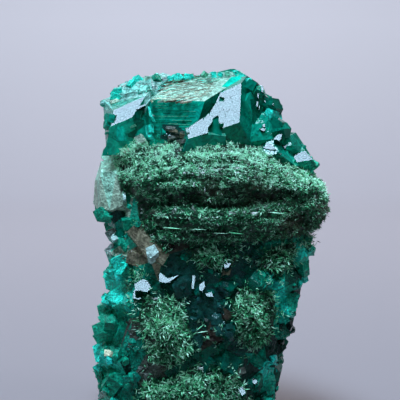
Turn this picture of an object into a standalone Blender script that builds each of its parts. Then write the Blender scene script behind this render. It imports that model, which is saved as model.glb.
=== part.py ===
"""A dioptase specimen: emerald-green crystals grown together, with a ledge and tufts of needle malachite.

Lengths are millimetres up to the last step, which makes the meshes in metres. The viewer stands at -Y,
+X is to the viewer's right and +Z is up. A direction is a bearing and a tilt in degrees: bearing 0 faces
the viewer, bearing 90 faces right, and tilt 90 faces straight up.
"""

import math
import random

import bmesh
import bpy
from mathutils import Matrix, Vector, noise

MM = 0.001

# The hair of space that the malachite keeps from the crystals, and the seed of everything left to chance
GAP = 0.3
SEED = 20

# Colours of the two minerals, linear
EMERALD = (0.004, 0.16, 0.09, 1.0)
FELT_GREEN = (0.03, 0.22, 0.10, 1.0)

# The angle between dioptase's long axis and its rhombohedral end faces, and its prism of six sides
END_FACE_ANGLE = 51.0
PRISM_SIDES = 6
END_FACES = 3

# The crystals' common core: height, middle, half width, reach to the front, reach to the back
CORE_LEVELS = (
    (-3.0, -3.9, 13.5, 9.0, 8.4),
    (5.0, -4.1, 14.4, 9.6, 8.8),
    (11.0, -3.9, 15.3, 9.8, 9.0),
    (17.0, -3.3, 15.7, 10.0, 9.2),
    (23.0, -2.0, 15.7, 10.0, 9.4),
    (29.0, -0.6, 16.3, 9.8, 9.4),
    (36.0, 0.0, 17.0, 9.2, 9.2),
    (48.0, -1.6, 15.2, 8.0, 8.4),
    (54.0, -2.8, 13.4, 7.0, 7.8),
    (58.5, -3.2, 10.8, 5.6, 6.4),
    (61.0, -2.6, 8.0, 3.6, 5.0),
)
CORE_SIDES = 22
CORE_SQUARENESS = 2.8
CORE_LEAN = 0.12
CORE_LUMPS = 1.1


def direction(bearing, tilt):
    """The unit vector that a bearing and a tilt point along."""
    b = math.radians(bearing)
    t = math.radians(tilt)
    return Vector((math.cos(t) * math.sin(b), -math.cos(t) * math.cos(b), math.sin(t)))


def clear_scene():
    for old in list(bpy.data.objects):
        bpy.data.objects.remove(old, do_unlink=True)


def object_from(bm, name):
    """The bmesh as a new object of the scene, still in millimetres."""
    bmesh.ops.recalc_face_normals(bm, faces=bm.faces)
    mesh = bpy.data.meshes.new(name)
    bm.to_mesh(mesh)
    bm.free()
    made = bpy.data.objects.new(name, mesh)
    bpy.context.scene.collection.objects.link(made)
    return made


# Crystals: each is a block cut by flat faces


def cut_block(name, centre, faces, grow=0.0):
    """A convex crystal round centre. Each face is a unit normal and its distance from the centre."""
    bm = bmesh.new()
    reach = 4.0 * max(distance for _, distance in faces) + grow
    bmesh.ops.create_cube(bm, size=2.0 * reach)
    for normal, distance in faces:
        cut = bmesh.ops.bisect_plane(
            bm,
            geom=bm.verts[:] + bm.edges[:] + bm.faces[:],
            dist=1e-5,
            plane_co=normal * (distance + grow),
            plane_no=normal,
            clear_outer=True,
        )
        rim = [e for e in cut["geom_cut"] if isinstance(e, bmesh.types.BMEdge)]
        if rim:
            bmesh.ops.contextual_create(bm, geom=rim)
    bmesh.ops.translate(bm, verts=bm.verts, vec=centre)
    return object_from(bm, name)


def dioptase_faces(radius, half_length, axis, spin, chance, uneven=0.12):
    """The natural faces of one dioptase crystal: a six-sided prism with a three-faced end."""
    turn = axis.to_track_quat("Z", "Y").to_matrix() @ Matrix.Rotation(math.radians(spin), 3, "Z")
    faces = []
    for side in range(PRISM_SIDES):
        azimuth = math.radians(30.0 + 360.0 * side / PRISM_SIDES)
        normal = Vector((math.cos(azimuth), math.sin(azimuth), 0.0))
        faces.append((turn @ normal, radius * chance.uniform(1.0 - uneven, 1.0 + uneven)))
    lean = math.radians(END_FACE_ANGLE)
    for end in range(END_FACES):
        azimuth = math.radians(360.0 * end / END_FACES)
        normal = Vector((math.sin(lean) * math.cos(azimuth), math.sin(lean) * math.sin(azimuth), math.cos(lean)))
        reach = half_length * math.cos(lean) * chance.uniform(1.0 - uneven, 1.0 + uneven)
        faces.append((turn @ normal, reach))
    faces.append((turn @ Vector((0.0, 0.0, -1.0)), half_length * 0.9))
    return faces


# Crystals fitted one by one: name, centre, and faces as bearing, tilt and distance from the centre
LARGE_CRYSTALS = (
    (
        "striated_crystal",
        (-3.0, -1.5, 56.0),
        (
            (-6, -4, 6.9),
            (0, 70, 6.0),
            (56, 0, 5.7),
            (54, -18, 4.5),
            (-68, -1, 9.0),
            (-95, 45, 7.3),
            (-90, 76, 6.8),
            (88, 56, 11.4),
            (180, 0, 6.8),
            (0, -90, 6.0),
        ),
    ),
    (
        "mirror_crystal",
        (3.6, -2.2, 56.0),
        (
            (-4, 37, 5.2),
            (62, 16, 3.9),
            (16, -15, 6.2),
            (-80, 35, 5.2),
            (-53, 65, 5.8),
            (150, 40, 6.4),
            (110, -4, 5.2),
            (178, 0, 6.2),
            (0, -90, 5.6),
        ),
    ),
    (
        "mirror_crystal_foot",
        (-1.5, -7.0, 52.8),
        (
            (-4, 37, 3.45),
            (-76, 57, 3.6),
            (-68, 16, 3.6),
            (14, -15, 2.6),
            (21, 36, 3.4),
            (110, 0, 3.0),
            (170, 10, 3.0),
            (0, -90, 2.6),
        ),
    ),
    (
        "left_shoulder_crystal",
        (-13.6, -3.0, 55.0),
        (
            (-4, 37, 4.3),
            (-70, 19, 4.4),
            (-53, 65, 4.4),
            (49, 1, 3.0),
            (17, -9, 3.6),
            (-90, -10, 4.4),
            (170, 0, 4.4),
            (0, -90, 4.4),
        ),
    ),
    (
        "left_crown_crystal",
        (-10.6, 1.6, 57.4),
        (
            (-88, 34, 6.8),
            (-70, 72, 5.6),
            (-20, 50, 5.4),
            (24, 58, 5.8),
            (-10, -6, 3.6),
            (160, 40, 5.4),
            (180, 0, 6.0),
            (90, 10, 5.0),
            (-150, 12, 6.0),
            (-92, -8, 6.4),
            (0, -90, 4.0),
        ),
    ),
    (
        "right_flank_crystal",
        (7.6, 0.6, 56.2),
        (
            (34, 12, 4.2),
            (88, 44, 3.7),
            (90, 30, 3.9),
            (94, -4, 5.0),
            (-8, -6, 5.2),
            (165, 30, 4.8),
            (176, 0, 5.4),
            (-60, 40, 5.4),
            (12, 74, 6.4),
            (0, -90, 4.4),
        ),
    ),
    (
        "right_flank_lower_crystal",
        (9.0, -2.6, 53.6),
        (
            (48, 30, 3.4),
            (14, 12, 3.4),
            (92, 4, 3.4),
            (100, 50, 5.9),
            (-30, 44, 3.4),
            (20, -40, 3.0),
            (180, 0, 3.6),
            (0, -90, 3.4),
        ),
    ),
    (
        "back_crown_crystal",
        (0.8, 4.2, 57.6),
        (
            (-90, 76, 6.3),
            (88, 56, 8.0),
            (180, 34, 5.0),
            (180, 0, 5.6),
            (130, 55, 6.4),
            (-140, 50, 5.6),
            (90, 10, 6.6),
            (-90, 10, 6.8),
            (0, 24, 5.2),
            (0, -90, 4.0),
        ),
    ),
    (
        "right_shoulder_crystal",
        (14.0, -1.8, 49.4),
        (
            (-4, 37, 2.35),
            (-20, 62, 1.9),
            (88, 40, 2.7),
            (92, 0, 4.1),
            (78, -27, 4.0),
            (10, -35, 2.8),
            (-77, 29, 2.2),
            (180, 0, 3.4),
            (0, -90, 3.4),
        ),
    ),
    (
        "right_step_crystal",
        (12.4, -3.2, 52.2),
        ((-4, 37, 1.5), (60, 30, 1.7), (-60, 25, 1.8), (10, -40, 1.8), (20, 80, 1.5), (180, 0, 2.0), (0, -90, 2.2)),
    ),
    (
        "right_corner_crystal",
        (10.0, -5.6, 51.0),
        ((-4, 40, 1.5), (58, 34, 1.8), (-60, 38, 1.7), (10, -30, 2.0), (180, 0, 2.2), (0, -90, 2.4)),
    ),
    (
        "left_frosted_crystal",
        (-17.2, -3.6, 43.2),
        (
            (-14, 8, 3.0),
            (-9, 68, 5.0),
            (57, 15, 3.6),
            (15, -46, 3.8),
            (-33, -39, 3.5),
            (-80, -34, 3.2),
            (-74, 2, 2.2),
            (-70, 22, 3.5),
            (170, 10, 2.2),
            (0, -90, 3.6),
        ),
    ),
    (
        "grey_prism",
        (-10.8, -8.5, 35.9),
        (
            (-20, 5, 1.5),
            (-69, -32, 1.6),
            (-145, -39, 1.6),
            (160, -5, 1.6),
            (111, 32, 1.6),
            (35, 39, 1.6),
            (17, -31, 2.7),
            (88, -13, 2.9),
            (137, -75, 3.0),
            (-115, 48, 3.4),
        ),
    ),
)

# Crystals of the natural form that stand out from the rest: centre, radius, half length, axis bearing and tilt, spin
STANDING_CRYSTALS = (
    ((-15.6, -0.4, 49.4), 2.5, 3.6, -76, 6, 30),
    ((-14.6, -4.4, 36.2), 2.4, 3.4, -40, 10, 20),
    ((-15.6, -4.0, 22.6), 3.0, 4.0, -50, -12, 75),
    ((-16.2, -4.2, 12.4), 3.3, 4.0, -58, 14, 40),
    ((-13.4, -7.0, 5.8), 2.6, 3.8, -30, -18, 10),
    ((14.2, -1.0, 33.4), 2.4, 3.2, 70, 8, 50),
    ((12.8, -4.6, 24.4), 2.2, 3.6, 56, -16, 15),
    ((9.6, -6.6, 5.4), 2.5, 3.6, 30, -6, 66),
    ((-2.0, 7.6, 48.0), 3.0, 4.6, 176, 30, 30),
    ((9.0, 6.0, 50.6), 2.6, 4.0, 140, 24, 80),
    ((-11.6, 5.8, 49.0), 2.8, 4.2, -140, 18, 5),
    ((2.6, 8.2, 38.0), 3.2, 4.4, 170, -10, 55),
    ((-10.2, 7.8, 37.0), 2.6, 3.8, -155, 20, 95),
    ((-6.6, 5.4, 56.0), 3.4, 5.0, -172, 42, 20),
    ((4.4, 5.8, 55.0), 3.2, 5.0, 158, 36, 60),
    ((8.8, 3.2, 55.8), 2.6, 3.8, 118, 20, 10),
)


def large_crystals(grow=0.0):
    made = []
    for name, centre, faces in LARGE_CRYSTALS:
        planes = [(direction(bearing, tilt), distance) for bearing, tilt, distance in faces]
        made.append(cut_block(name, Vector(centre), planes, grow))
    return made


def standing_crystals(grow=0.0):
    chance = random.Random(SEED)
    made = []
    for centre, radius, half_length, bearing, tilt, spin in STANDING_CRYSTALS:
        faces = dioptase_faces(radius, half_length, direction(bearing, tilt), spin, chance)
        made.append(cut_block(f"standing_{len(made)}", Vector(centre), faces, grow))
    return made


# The core under the crystals


def core_section(z):
    """Middle, half width, front and back reach of the core at a height."""
    levels = CORE_LEVELS
    z = min(max(z, levels[0][0]), levels[-1][0])
    for low, high in zip(levels, levels[1:]):
        if z <= high[0]:
            share = (z - low[0]) / (high[0] - low[0])
            return [a + share * (b - a) for a, b in zip(low[1:], high[1:])]
    return list(levels[-1][1:])


def core_point(angle, z, out=0.0):
    """A point of the core's wall, out millimetres clear of it. Angle 0 faces the viewer."""
    middle, half_width, front, back = core_section(z)
    s = math.sin(angle)
    c = math.cos(angle)
    power = 2.0 / CORE_SQUARENESS
    reach = front if c > 0.0 else back
    x = math.copysign(abs(s) ** power, s) * (half_width + out)
    y = -math.copysign(abs(c) ** power, c) * (reach + out)
    return Vector((middle + x + CORE_LEAN * y, y, z))


def core(grow=0.0):
    """The core as a loft through its levels, closed at the foot and the top."""
    bm = bmesh.new()
    rings = []
    for number, (z, *_) in enumerate(CORE_LEVELS):
        shift = grow * (1 if number == len(CORE_LEVELS) - 1 else 0)
        ring = []
        for side in range(CORE_SIDES):
            lump = CORE_LUMPS * noise.noise(Vector((1.7 * side, 0.9 * z, 3.0)))
            point = core_point(2.0 * math.pi * side / CORE_SIDES, z, grow + lump)
            ring.append(bm.verts.new(point + Vector((0.0, 0.0, shift))))
        rings.append(ring)
    for low, high in zip(rings, rings[1:]):
        for side in range(CORE_SIDES):
            after = (side + 1) % CORE_SIDES
            bm.faces.new((low[side], low[after], high[after]))
            bm.faces.new((low[side], high[after], high[side]))
    bm.faces.new(rings[0])
    bm.faces.new(rings[-1])
    return object_from(bm, "core")


# The malachite tufts: name, angle round the core, height, half width, half height, how far it stands out, roll
TUFTS = (
    ("malachite_tuft_left", -14.0, 21.6, 5.4, 6.8, 3.0, 20.0),
    ("malachite_tuft_right", 35.0, 24.0, 4.4, 6.4, 2.8, -2.0),
    ("malachite_tuft_foot", 4.0, 10.4, 9.4, 4.6, 3.0, 9.0),
    ("malachite_tuft_upper", 44.0, 33.0, 4.0, 2.4, 2.4, 25.0),
    ("malachite_tuft_middle", 1.0, 33.6, 3.2, 2.0, 2.0, -12.0),
    ("malachite_tuft_back", 165.0, 25.0, 6.4, 5.0, 2.8, -25.0),
    ("malachite_tuft_back_left", -122.0, 11.0, 4.8, 4.2, 2.6, 30.0),
)
TUFT_DETAIL = 3
TUFT_SUNK = 0.35

# The druse: smaller crystals grown all over the core, outside the ledge and the tufts
DRUSE_ROWS = (2.4, 7.0, 11.6, 16.0, 20.4, 24.8, 29.0, 33.0, 37.6, 42.2, 46.6, 50.8, 55.0)
DRUSE_SPACING = 5.6
DRUSE_SUNK = 0.5
DRUSE_RADIUS = (1.5, 2.4)
DRUSE_LEAN = 32.0
LEDGE_ROWS_FROM = 35.0
LEDGE_ARC_MIDDLE = math.radians(18.0)
LEDGE_ARC = math.radians(104.0)


def tuft_frame(bearing, height, roll):
    """Where a tuft sits on the core's wall, and the turn that stands it out of the wall."""
    angle = math.radians(bearing)
    wall = core_point(angle, height)
    outward = (core_point(angle, height, 1.0) - wall).normalized()
    upright = Vector((0.0, 0.0, 1.0))
    across = upright.cross(outward).normalized()
    turn = Matrix((across, outward.cross(across), outward)).transposed()
    return wall, turn @ Matrix.Rotation(math.radians(roll), 3, "Z")


def under_a_tuft(point):
    """True where a tuft covers the wall, so that no crystal stands there."""
    for _, bearing, height, half_width, half_height, _, roll in TUFTS:
        wall, turn = tuft_frame(bearing, height, roll)
        local = turn.transposed() @ (point - wall)
        if (local.x / half_width) ** 2 + (local.y / half_height) ** 2 < 0.9 and abs(local.z) < half_width:
            return True
    return False


def druse_crystal(name, chance, angle, z, grow):
    """One crystal of the druse, standing out of the core's wall with a lean of its own."""
    wall = core_point(angle, z)
    outward = core_point(angle, z, 1.0) - wall
    lean = Matrix.Rotation(math.radians(chance.uniform(-DRUSE_LEAN, DRUSE_LEAN)), 3, "Z")
    pitch = Vector((0.0, 0.0, math.tan(math.radians(chance.uniform(-DRUSE_LEAN, DRUSE_LEAN)))))
    axis = (lean @ outward.normalized() + pitch).normalized()
    radius = chance.uniform(*DRUSE_RADIUS)
    half_length = radius * chance.uniform(1.15, 1.5)
    spin = chance.uniform(0.0, 120.0)
    faces = dioptase_faces(radius, half_length, axis, spin, chance)
    return cut_block(name, wall - axis * (DRUSE_SUNK * radius), faces, grow)


def druse(grow=0.0):
    """Rows of crystals round the core, the same ones each time that it is called."""
    chance = random.Random(SEED)
    made = []
    for z in DRUSE_ROWS:
        _, half_width, front, back = core_section(z)
        around = 2.0 * (2.0 * half_width + front + back)
        count = round(around / DRUSE_SPACING)
        start = chance.uniform(0.0, 1.0)
        for place in range(count):
            angle = 2.0 * math.pi * (place + start + chance.uniform(-0.25, 0.25)) / count
            angle = (angle + math.pi) % (2.0 * math.pi) - math.pi
            height = z + chance.uniform(-1.4, 1.4)
            own_chance = random.Random(chance.random())
            behind_ledge = z > LEDGE_ROWS_FROM and abs(angle - LEDGE_ARC_MIDDLE) < LEDGE_ARC
            if not behind_ledge and not under_a_tuft(core_point(angle, height)):
                made.append(druse_crystal(f"druse_{len(made)}", own_chance, angle, height, grow))
    return made


# Joining and cutting


def boolean(target, operation, others):
    """Joins the other objects to the target, or cuts them from it, and removes them."""
    helpers = bpy.data.collections.new("helpers")
    bpy.context.scene.collection.children.link(helpers)
    for other in others:
        helpers.objects.link(other)
    modifier = target.modifiers.new("boolean", "BOOLEAN")
    modifier.operation = operation
    modifier.operand_type = "COLLECTION"
    modifier.collection = helpers
    modifier.solver = "EXACT"
    bpy.context.view_layer.update()
    graph = bpy.context.evaluated_depsgraph_get()
    result = bpy.data.meshes.new_from_object(target.evaluated_get(graph))
    target.modifiers.clear()
    target.data = result
    for other in others:
        bpy.data.objects.remove(other, do_unlink=True)
    bpy.data.collections.remove(helpers)


def keep_largest_body(target):
    """Drops the loose crumbs that a cut leaves beside the main body."""
    bm = bmesh.new()
    bm.from_mesh(target.data)
    left = set(bm.faces)
    bodies = []
    while left:
        start = left.pop()
        body = {start}
        edge_of_body = [start]
        while edge_of_body:
            face = edge_of_body.pop()
            for edge in face.edges:
                for near in edge.link_faces:
                    if near in left:
                        left.discard(near)
                        body.add(near)
                        edge_of_body.append(near)
        bodies.append(body)
    largest = max(bodies, key=lambda body: sum(face.calc_area() for face in body))
    crumbs = [face for body in bodies if body is not largest for face in body]
    bmesh.ops.delete(bm, geom=crumbs, context="FACES")
    bm.to_mesh(target.data)
    bm.free()


def base_saw():
    """A slab whose top is the flat foot on which the specimen stands."""
    bm = bmesh.new()
    bmesh.ops.create_cube(bm, size=1.0)
    bmesh.ops.scale(bm, vec=(80.0, 80.0, 20.0), verts=bm.verts)
    bmesh.ops.translate(bm, vec=(0.0, 0.0, -10.0), verts=bm.verts)
    return object_from(bm, "base_saw")


def dioptase_mass():
    mass = core()
    boolean(mass, "UNION", large_crystals() + standing_crystals() + druse())
    boolean(mass, "DIFFERENCE", [base_saw()])
    keep_largest_body(mass)
    mass.name = "dioptase_crystals"
    return mass


def reach_of(solid):
    """The lowest and the highest corner of a solid."""
    points = [vertex.co for vertex in solid.data.vertices]
    return [min(p[i] for p in points) for i in range(3)], [max(p[i] for p in points) for i in range(3)]


def meet(first, second):
    low_a, high_a = reach_of(first)
    low_b, high_b = reach_of(second)
    return all(low_a[i] < high_b[i] and low_b[i] < high_a[i] for i in range(3))


def clear_of_crystals(mat):
    """Cuts the core and every crystal from a mat of malachite, each grown by the gap that the mat keeps."""
    cutters = [core(GAP)] + large_crystals(GAP) + standing_crystals(GAP) + druse(GAP)
    near = [cutter for cutter in cutters if meet(mat, cutter)]
    for cutter in cutters:
        if cutter not in near:
            bpy.data.objects.remove(cutter, do_unlink=True)
    boolean(mat, "DIFFERENCE", near)
    keep_largest_body(mat)


# The malachite ledge: a mat in layers, wider than the core at the front and on the right
LEDGE_SIDES = 48
LEDGE_SQUARENESS = 2.7
LEDGE_WAVER = 0.8
# Height at the left end, and its reach to the left, right, front and back of the specimen's middle
LEDGE_LAYERS = (
    (53.6, 7.0, 5.0, 8.4, 4.5),
    (52.6, 12.0, 9.0, 9.4, 5.2),
    (51.2, 15.6, 12.6, 10.6, 5.8),
    (49.2, 16.4, 15.4, 11.7, 6.2),
    (47.4, 16.6, 17.6, 12.8, 6.6),
    (46.0, 16.4, 19.2, 13.2, 6.8),
    (45.2, 16.0, 19.9, 12.6, 6.8),
    (44.2, 15.4, 20.3, 11.6, 6.8),
    (42.8, 14.8, 20.6, 11.5, 6.8),
    (41.6, 14.2, 20.6, 12.6, 6.8),
    (40.2, 13.8, 20.5, 13.0, 6.6),
    (39.0, 13.6, 19.8, 12.8, 6.4),
    (38.0, 13.6, 19.4, 12.3, 6.2),
    (36.9, 13.8, 19.0, 11.6, 5.8),
    (36.0, 12.8, 17.6, 9.8, 5.0),
)
LEDGE_DIP = 0.085
LEDGE_DIP_FROM = 42.0


def ledge():
    bm = bmesh.new()
    rings = []
    power = 2.0 / LEDGE_SQUARENESS
    tallest = LEDGE_LAYERS[0][0] - LEDGE_DIP_FROM
    for z, left, right, front, back in LEDGE_LAYERS:
        ring = []
        for side in range(LEDGE_SIDES):
            angle = 2.0 * math.pi * side / LEDGE_SIDES
            s = math.sin(angle)
            c = math.cos(angle)
            waver = LEDGE_WAVER * noise.noise(Vector((2.4 * s, 2.4 * c, 0.5 * z)))
            reach_x = (right if s > 0.0 else left) + waver
            reach_y = (front if c > 0.0 else back) + waver
            x = math.copysign(abs(s) ** power, s) * reach_x
            y = -math.copysign(abs(c) ** power, c) * reach_y
            dip = LEDGE_DIP * max(x, 0.0) * (z - LEDGE_DIP_FROM) / tallest
            ring.append(bm.verts.new((x, y, z - dip)))
        rings.append(ring)
    for high, low in zip(rings, rings[1:]):
        for side in range(LEDGE_SIDES):
            after = (side + 1) % LEDGE_SIDES
            bm.faces.new((low[side], low[after], high[after], high[side]))
    bm.faces.new(rings[0])
    bm.faces.new(rings[-1])
    return object_from(bm, "malachite_ledge")


def tuft(name, bearing, height, half_width, half_height, stand_out, roll):
    """A lumpy cushion of needles, part sunk in the core's wall."""
    wall, turn = tuft_frame(bearing, height, roll)
    bm = bmesh.new()
    bmesh.ops.create_icosphere(bm, subdivisions=TUFT_DETAIL, radius=1.0)
    for vertex in bm.verts:
        lump = 1.0 + 0.25 * noise.noise(vertex.co * 1.9 + Vector((bearing, height, 0.0)))
        x, y, z = vertex.co * lump
        local = Vector((x * half_width, y * half_height, (z - TUFT_SUNK) * stand_out))
        vertex.co = wall + turn @ local
    return object_from(bm, name)


# Materials


def mineral(name, colour, roughness):
    made = bpy.data.materials.new(name)
    made.use_nodes = True
    shader = made.node_tree.nodes["Principled BSDF"]
    shader.inputs["Base Color"].default_value = colour
    shader.inputs["Roughness"].default_value = roughness
    shader.inputs["Metallic"].default_value = 0.0
    return made


def finish(solids):
    """Puts the origin at the middle of the foot and turns millimetres into metres."""
    corners = [vertex.co for solid in solids for vertex in solid.data.vertices]
    middle_x = (min(c.x for c in corners) + max(c.x for c in corners)) / 2.0
    middle_y = (min(c.y for c in corners) + max(c.y for c in corners)) / 2.0
    place = Matrix.Scale(MM, 4) @ Matrix.Translation((-middle_x, -middle_y, 0.0))
    for solid in solids:
        solid.data.transform(place)


def main():
    clear_scene()
    emerald = mineral("dioptase", EMERALD, 0.12)
    felt = mineral("malachite", FELT_GREEN, 0.75)
    mass = dioptase_mass()
    mats = [ledge()] + [tuft(*values) for values in TUFTS]
    for mat in mats:
        clear_of_crystals(mat)
    mass.data.materials.clear()
    mass.data.materials.append(emerald)
    for mat in mats:
        mat.data.materials.clear()
        mat.data.materials.append(felt)
    finish([mass] + mats)


if __name__ == "__main__":
    main()
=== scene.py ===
"""A dioptase specimen: emerald crystals grown together, with felted malachite, as it stands for its picture.

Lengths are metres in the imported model's own frame, mostly written as millimetres times MM. The viewer is at
-Y, +X is to the viewer's right and +Z is up. A direction is a bearing and a tilt in degrees: bearing 0 faces
the viewer, 90 faces right, and tilt 90 faces straight up. A place written as across and up is where the
viewer's line of sight crosses the upright plane through the specimen's middle.
"""

import math
import random

import bmesh
import bpy
import numpy as np
from mathutils import Matrix, Vector, noise
from mathutils.bvhtree import BVHTree


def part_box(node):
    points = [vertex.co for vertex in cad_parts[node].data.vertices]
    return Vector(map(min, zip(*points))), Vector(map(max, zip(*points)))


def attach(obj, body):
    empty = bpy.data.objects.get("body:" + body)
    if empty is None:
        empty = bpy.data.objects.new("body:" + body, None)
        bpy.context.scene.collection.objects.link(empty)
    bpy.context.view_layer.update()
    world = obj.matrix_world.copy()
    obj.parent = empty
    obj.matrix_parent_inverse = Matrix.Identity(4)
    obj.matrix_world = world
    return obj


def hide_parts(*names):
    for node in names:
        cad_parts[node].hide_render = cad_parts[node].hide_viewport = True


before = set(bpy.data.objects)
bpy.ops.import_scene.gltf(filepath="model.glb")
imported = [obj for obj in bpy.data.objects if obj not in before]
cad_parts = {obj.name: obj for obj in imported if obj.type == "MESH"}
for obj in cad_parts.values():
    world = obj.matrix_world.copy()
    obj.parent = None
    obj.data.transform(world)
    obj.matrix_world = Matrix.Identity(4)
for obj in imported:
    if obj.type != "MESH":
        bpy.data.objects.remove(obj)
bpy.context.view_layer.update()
MM = 0.001

# The large crystals
# Dioptase is a clear, deep emerald-green copper mineral. Its blocky crystals are grown together into
# one body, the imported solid, and the foot is sawn flat. Some faces mirror the light, and others are
# grown over and matt.

EYE_TARGET = Vector((-1.861, 0.335, 42.0)) * MM
EYE_TILT = 8.0
EYE_DISTANCE = 194.4 * MM

# Each finish is a colour, linear, and how matt it is from 0 to 1
FINISHES = {
    "emerald": ((0.0, 0.250, 0.165), 0.05),
    "deep emerald": ((0.0, 0.150, 0.100), 0.03),
    "bright emerald": ((0.008, 0.640, 0.440), 0.05),
    "lit emerald": ((0.004, 0.950, 0.700), 0.05),
    "mirror": ((0.0, 0.055, 0.038), 0.03),
    "dark": ((0.014, 0.090, 0.082), 0.10),
    "teal": ((0.004, 0.460, 0.320), 0.12),
    "emerald frost": ((0.004, 0.350, 0.215), 0.60),
    "turquoise crust": ((0.020, 0.720, 0.560), 0.75),
    "white frost": ((0.520, 0.720, 0.690), 0.40),
    "pale turquoise": ((0.400, 0.760, 0.590), 0.55),
    "yellow-green frost": ((0.300, 0.550, 0.440), 0.85),
    "sage frost": ((0.380, 0.520, 0.400), 0.60),
    "mint": ((0.150, 0.560, 0.370), 0.50),
    "grey": ((0.150, 0.175, 0.155), 0.35),
    "warm grey": ((0.290, 0.260, 0.180), 0.30),
    "iron brown": ((0.060, 0.046, 0.036), 0.50),
    "brown frost": ((0.260, 0.230, 0.150), 0.60),
    "olive": ((0.085, 0.105, 0.050), 0.40),
    "beige": ((0.560, 0.520, 0.430), 0.60),
    "cream": ((0.760, 0.740, 0.540), 0.60),
    "dusk green": ((0.006, 0.046, 0.036), 0.40),
}
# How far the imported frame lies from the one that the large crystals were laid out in
LAID_OUT = Vector((-0.021, 0.335, 0.0)) * MM
# Faces with a finish of their own: centre of the crystal, bearing, tilt and distance of the face, finish
OWN_FACES = (
    ((-3.0, -1.5, 56.0), 0, 70, 6.0, "yellow-green frost"),
    ((-3.0, -1.5, 56.0), -6, -4, 6.9, "lit emerald"),
    ((-3.0, -1.5, 56.0), 56, 0, 5.7, "emerald"),
    ((3.6, -2.2, 56.0), -4, 37, 5.2, "mirror"),
    ((3.6, -2.2, 56.0), 62, 16, 3.9, "emerald"),
    ((3.6, -2.2, 56.0), 16, -15, 6.2, "emerald"),
    ((-1.5, -7.0, 52.8), -4, 37, 3.45, "mirror"),
    ((-13.6, -3.0, 55.0), -4, 37, 4.3, "mirror"),
    ((-13.6, -3.0, 55.0), 17, -9, 3.6, "bright emerald"),
    ((14.0, -1.8, 49.4), -4, 37, 2.35, "mirror"),
    ((14.0, -1.8, 49.4), -20, 62, 1.9, "teal"),
)
# Whole crystals with a finish of their own: lowest and highest corner of the space round them, finish
OWN_CRYSTALS = (
    ((-21.0, -7.6, 44.4), (-13.6, -0.6, 49.6), "pale turquoise"),
    ((-21.0, -7.6, 39.2), (-13.6, -0.6, 44.4), "sage frost"),
    ((-14.6, -11.4, 31.4), (-7.6, -7.4, 38.6), "warm grey"),
)
# Patches on the side that faces the viewer: across, up, reach, finish
PATCHES = (
    (-18.3, 19.6, 3.2, "emerald frost"),
    (-20.3, 13.8, 2.2, "turquoise crust"),
    (-18.3, 9.4, 2.6, "emerald frost"),
    (-17.6, 28.2, 2.0, "turquoise crust"),
    (-17.6, 25.0, 2.0, "turquoise crust"),
    (-16.4, 30.6, 1.5, "turquoise crust"),
    (-17.7, 35.8, 1.0, "white frost"),
    (-18.0, 33.4, 1.0, "white frost"),
    (-15.5, 32.4, 1.7, "sage frost"),
    (-16.3, 38.2, 2.2, "deep emerald"),
    (-16.4, 51.6, 1.5, "teal"),
    (-14.2, 19.2, 1.7, "grey"),
    (-10.8, 10.7, 2.3, "grey"),
    (-8.8, 35.2, 1.9, "iron brown"),
    (-5.6, 34.6, 1.9, "iron brown"),
    (2.9, 21.4, 1.3, "iron brown"),
    (-0.1, 17.4, 1.9, "iron brown"),
    (3.3, 29.2, 0.8, "olive"),
    (-0.6, 29.2, 1.2, "teal"),
    (-3.6, 32.0, 1.4, "teal"),
    (-1.6, 21.0, 5.6, "dark"),
    (-4.0, 28.6, 4.4, "dark"),
    (4.5, 33.0, 4.2, "dark"),
    (6.4, 16.4, 2.6, "dark"),
    (15.7, 32.8, 1.8, "turquoise crust"),
    (12.5, 31.0, 1.4, "turquoise crust"),
    (11.9, 25.6, 1.9, "turquoise crust"),
    (10.7, 22.0, 2.0, "turquoise crust"),
    (10.3, 11.2, 1.6, "turquoise crust"),
    (7.5, 14.0, 1.8, "teal"),
    (0.5, 7.0, 0.8, "turquoise crust"),
    (12.2, 57.6, 1.4, "turquoise crust"),
    (9.6, 55.0, 0.9, "teal"),
)
LEFT_CROWN = ((-18.8, -6.0, 57.4), (-5.4, 8.0, 66.0))
PATCH_RAG = 0.45
PATCH_CLOUD = 1.3
# Clouds of two finishes in one another: first, second, how sharply they part, and how far towards the first
# Dusk green on faces that turn right, low down, is painted shade on the side away from the key lamp
SIDE_CLOUDS = ("dusk green", "emerald frost", 1.6, -0.75)
CROWN_CLOUDS = ("emerald", "bright emerald", 1.6, -0.4)
CRUST_CLOUDS = ("turquoise crust", "white frost", 2.2, -0.4)
MIDDLE_CLOUDS = ("dark", "deep emerald", 1.5, 0.0)
EDGE_CLOUDS = ("emerald frost", "turquoise crust", 1.4, -0.5)
CLOUD = 3.1
CRUST_CLOUD = 1.1
CROWN_FOOT = 50.0
BREAK_TOP = 31.0
# The front's middle line at the foot, how far right it has moved at MIDDLE_TOP, and its width
MIDDLE_AT_FOOT = -4.0
MIDDLE_MOVES = 3.4
MIDDLE_TOP = 34.0
HALF_FRONT = 15.2
SIDES_FROM = 0.52
SIDES_WITHIN = 0.42


def direction(bearing, tilt):
    """The unit vector that a bearing and a tilt point along."""
    b = math.radians(bearing)
    t = math.radians(tilt)
    return Vector((math.cos(t) * math.sin(b), -math.cos(t) * math.cos(b), math.sin(t)))


EYE = EYE_TARGET + direction(0, EYE_TILT) * EYE_DISTANCE


def seen_at(point):
    """Across and up, in millimetres, of a point as the viewer sees it."""
    sight = point - EYE
    place = EYE + sight * (-EYE.y / sight.y)
    return place.x / MM, place.z / MM


def object_of(mesh, name):
    made = bpy.data.objects.new(name, mesh)
    bpy.context.scene.collection.objects.link(made)
    return made


def mesh_of(bm, name):
    """The mesh that a bmesh holds, which is then freed."""
    mesh = bpy.data.meshes.new(name)
    bm.to_mesh(mesh)
    bm.free()
    return mesh


def surface_of(piece):
    """A piece's surface as it is now, for finding places on it."""
    return BVHTree.FromObject(piece, bpy.context.evaluated_depsgraph_get())


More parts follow.
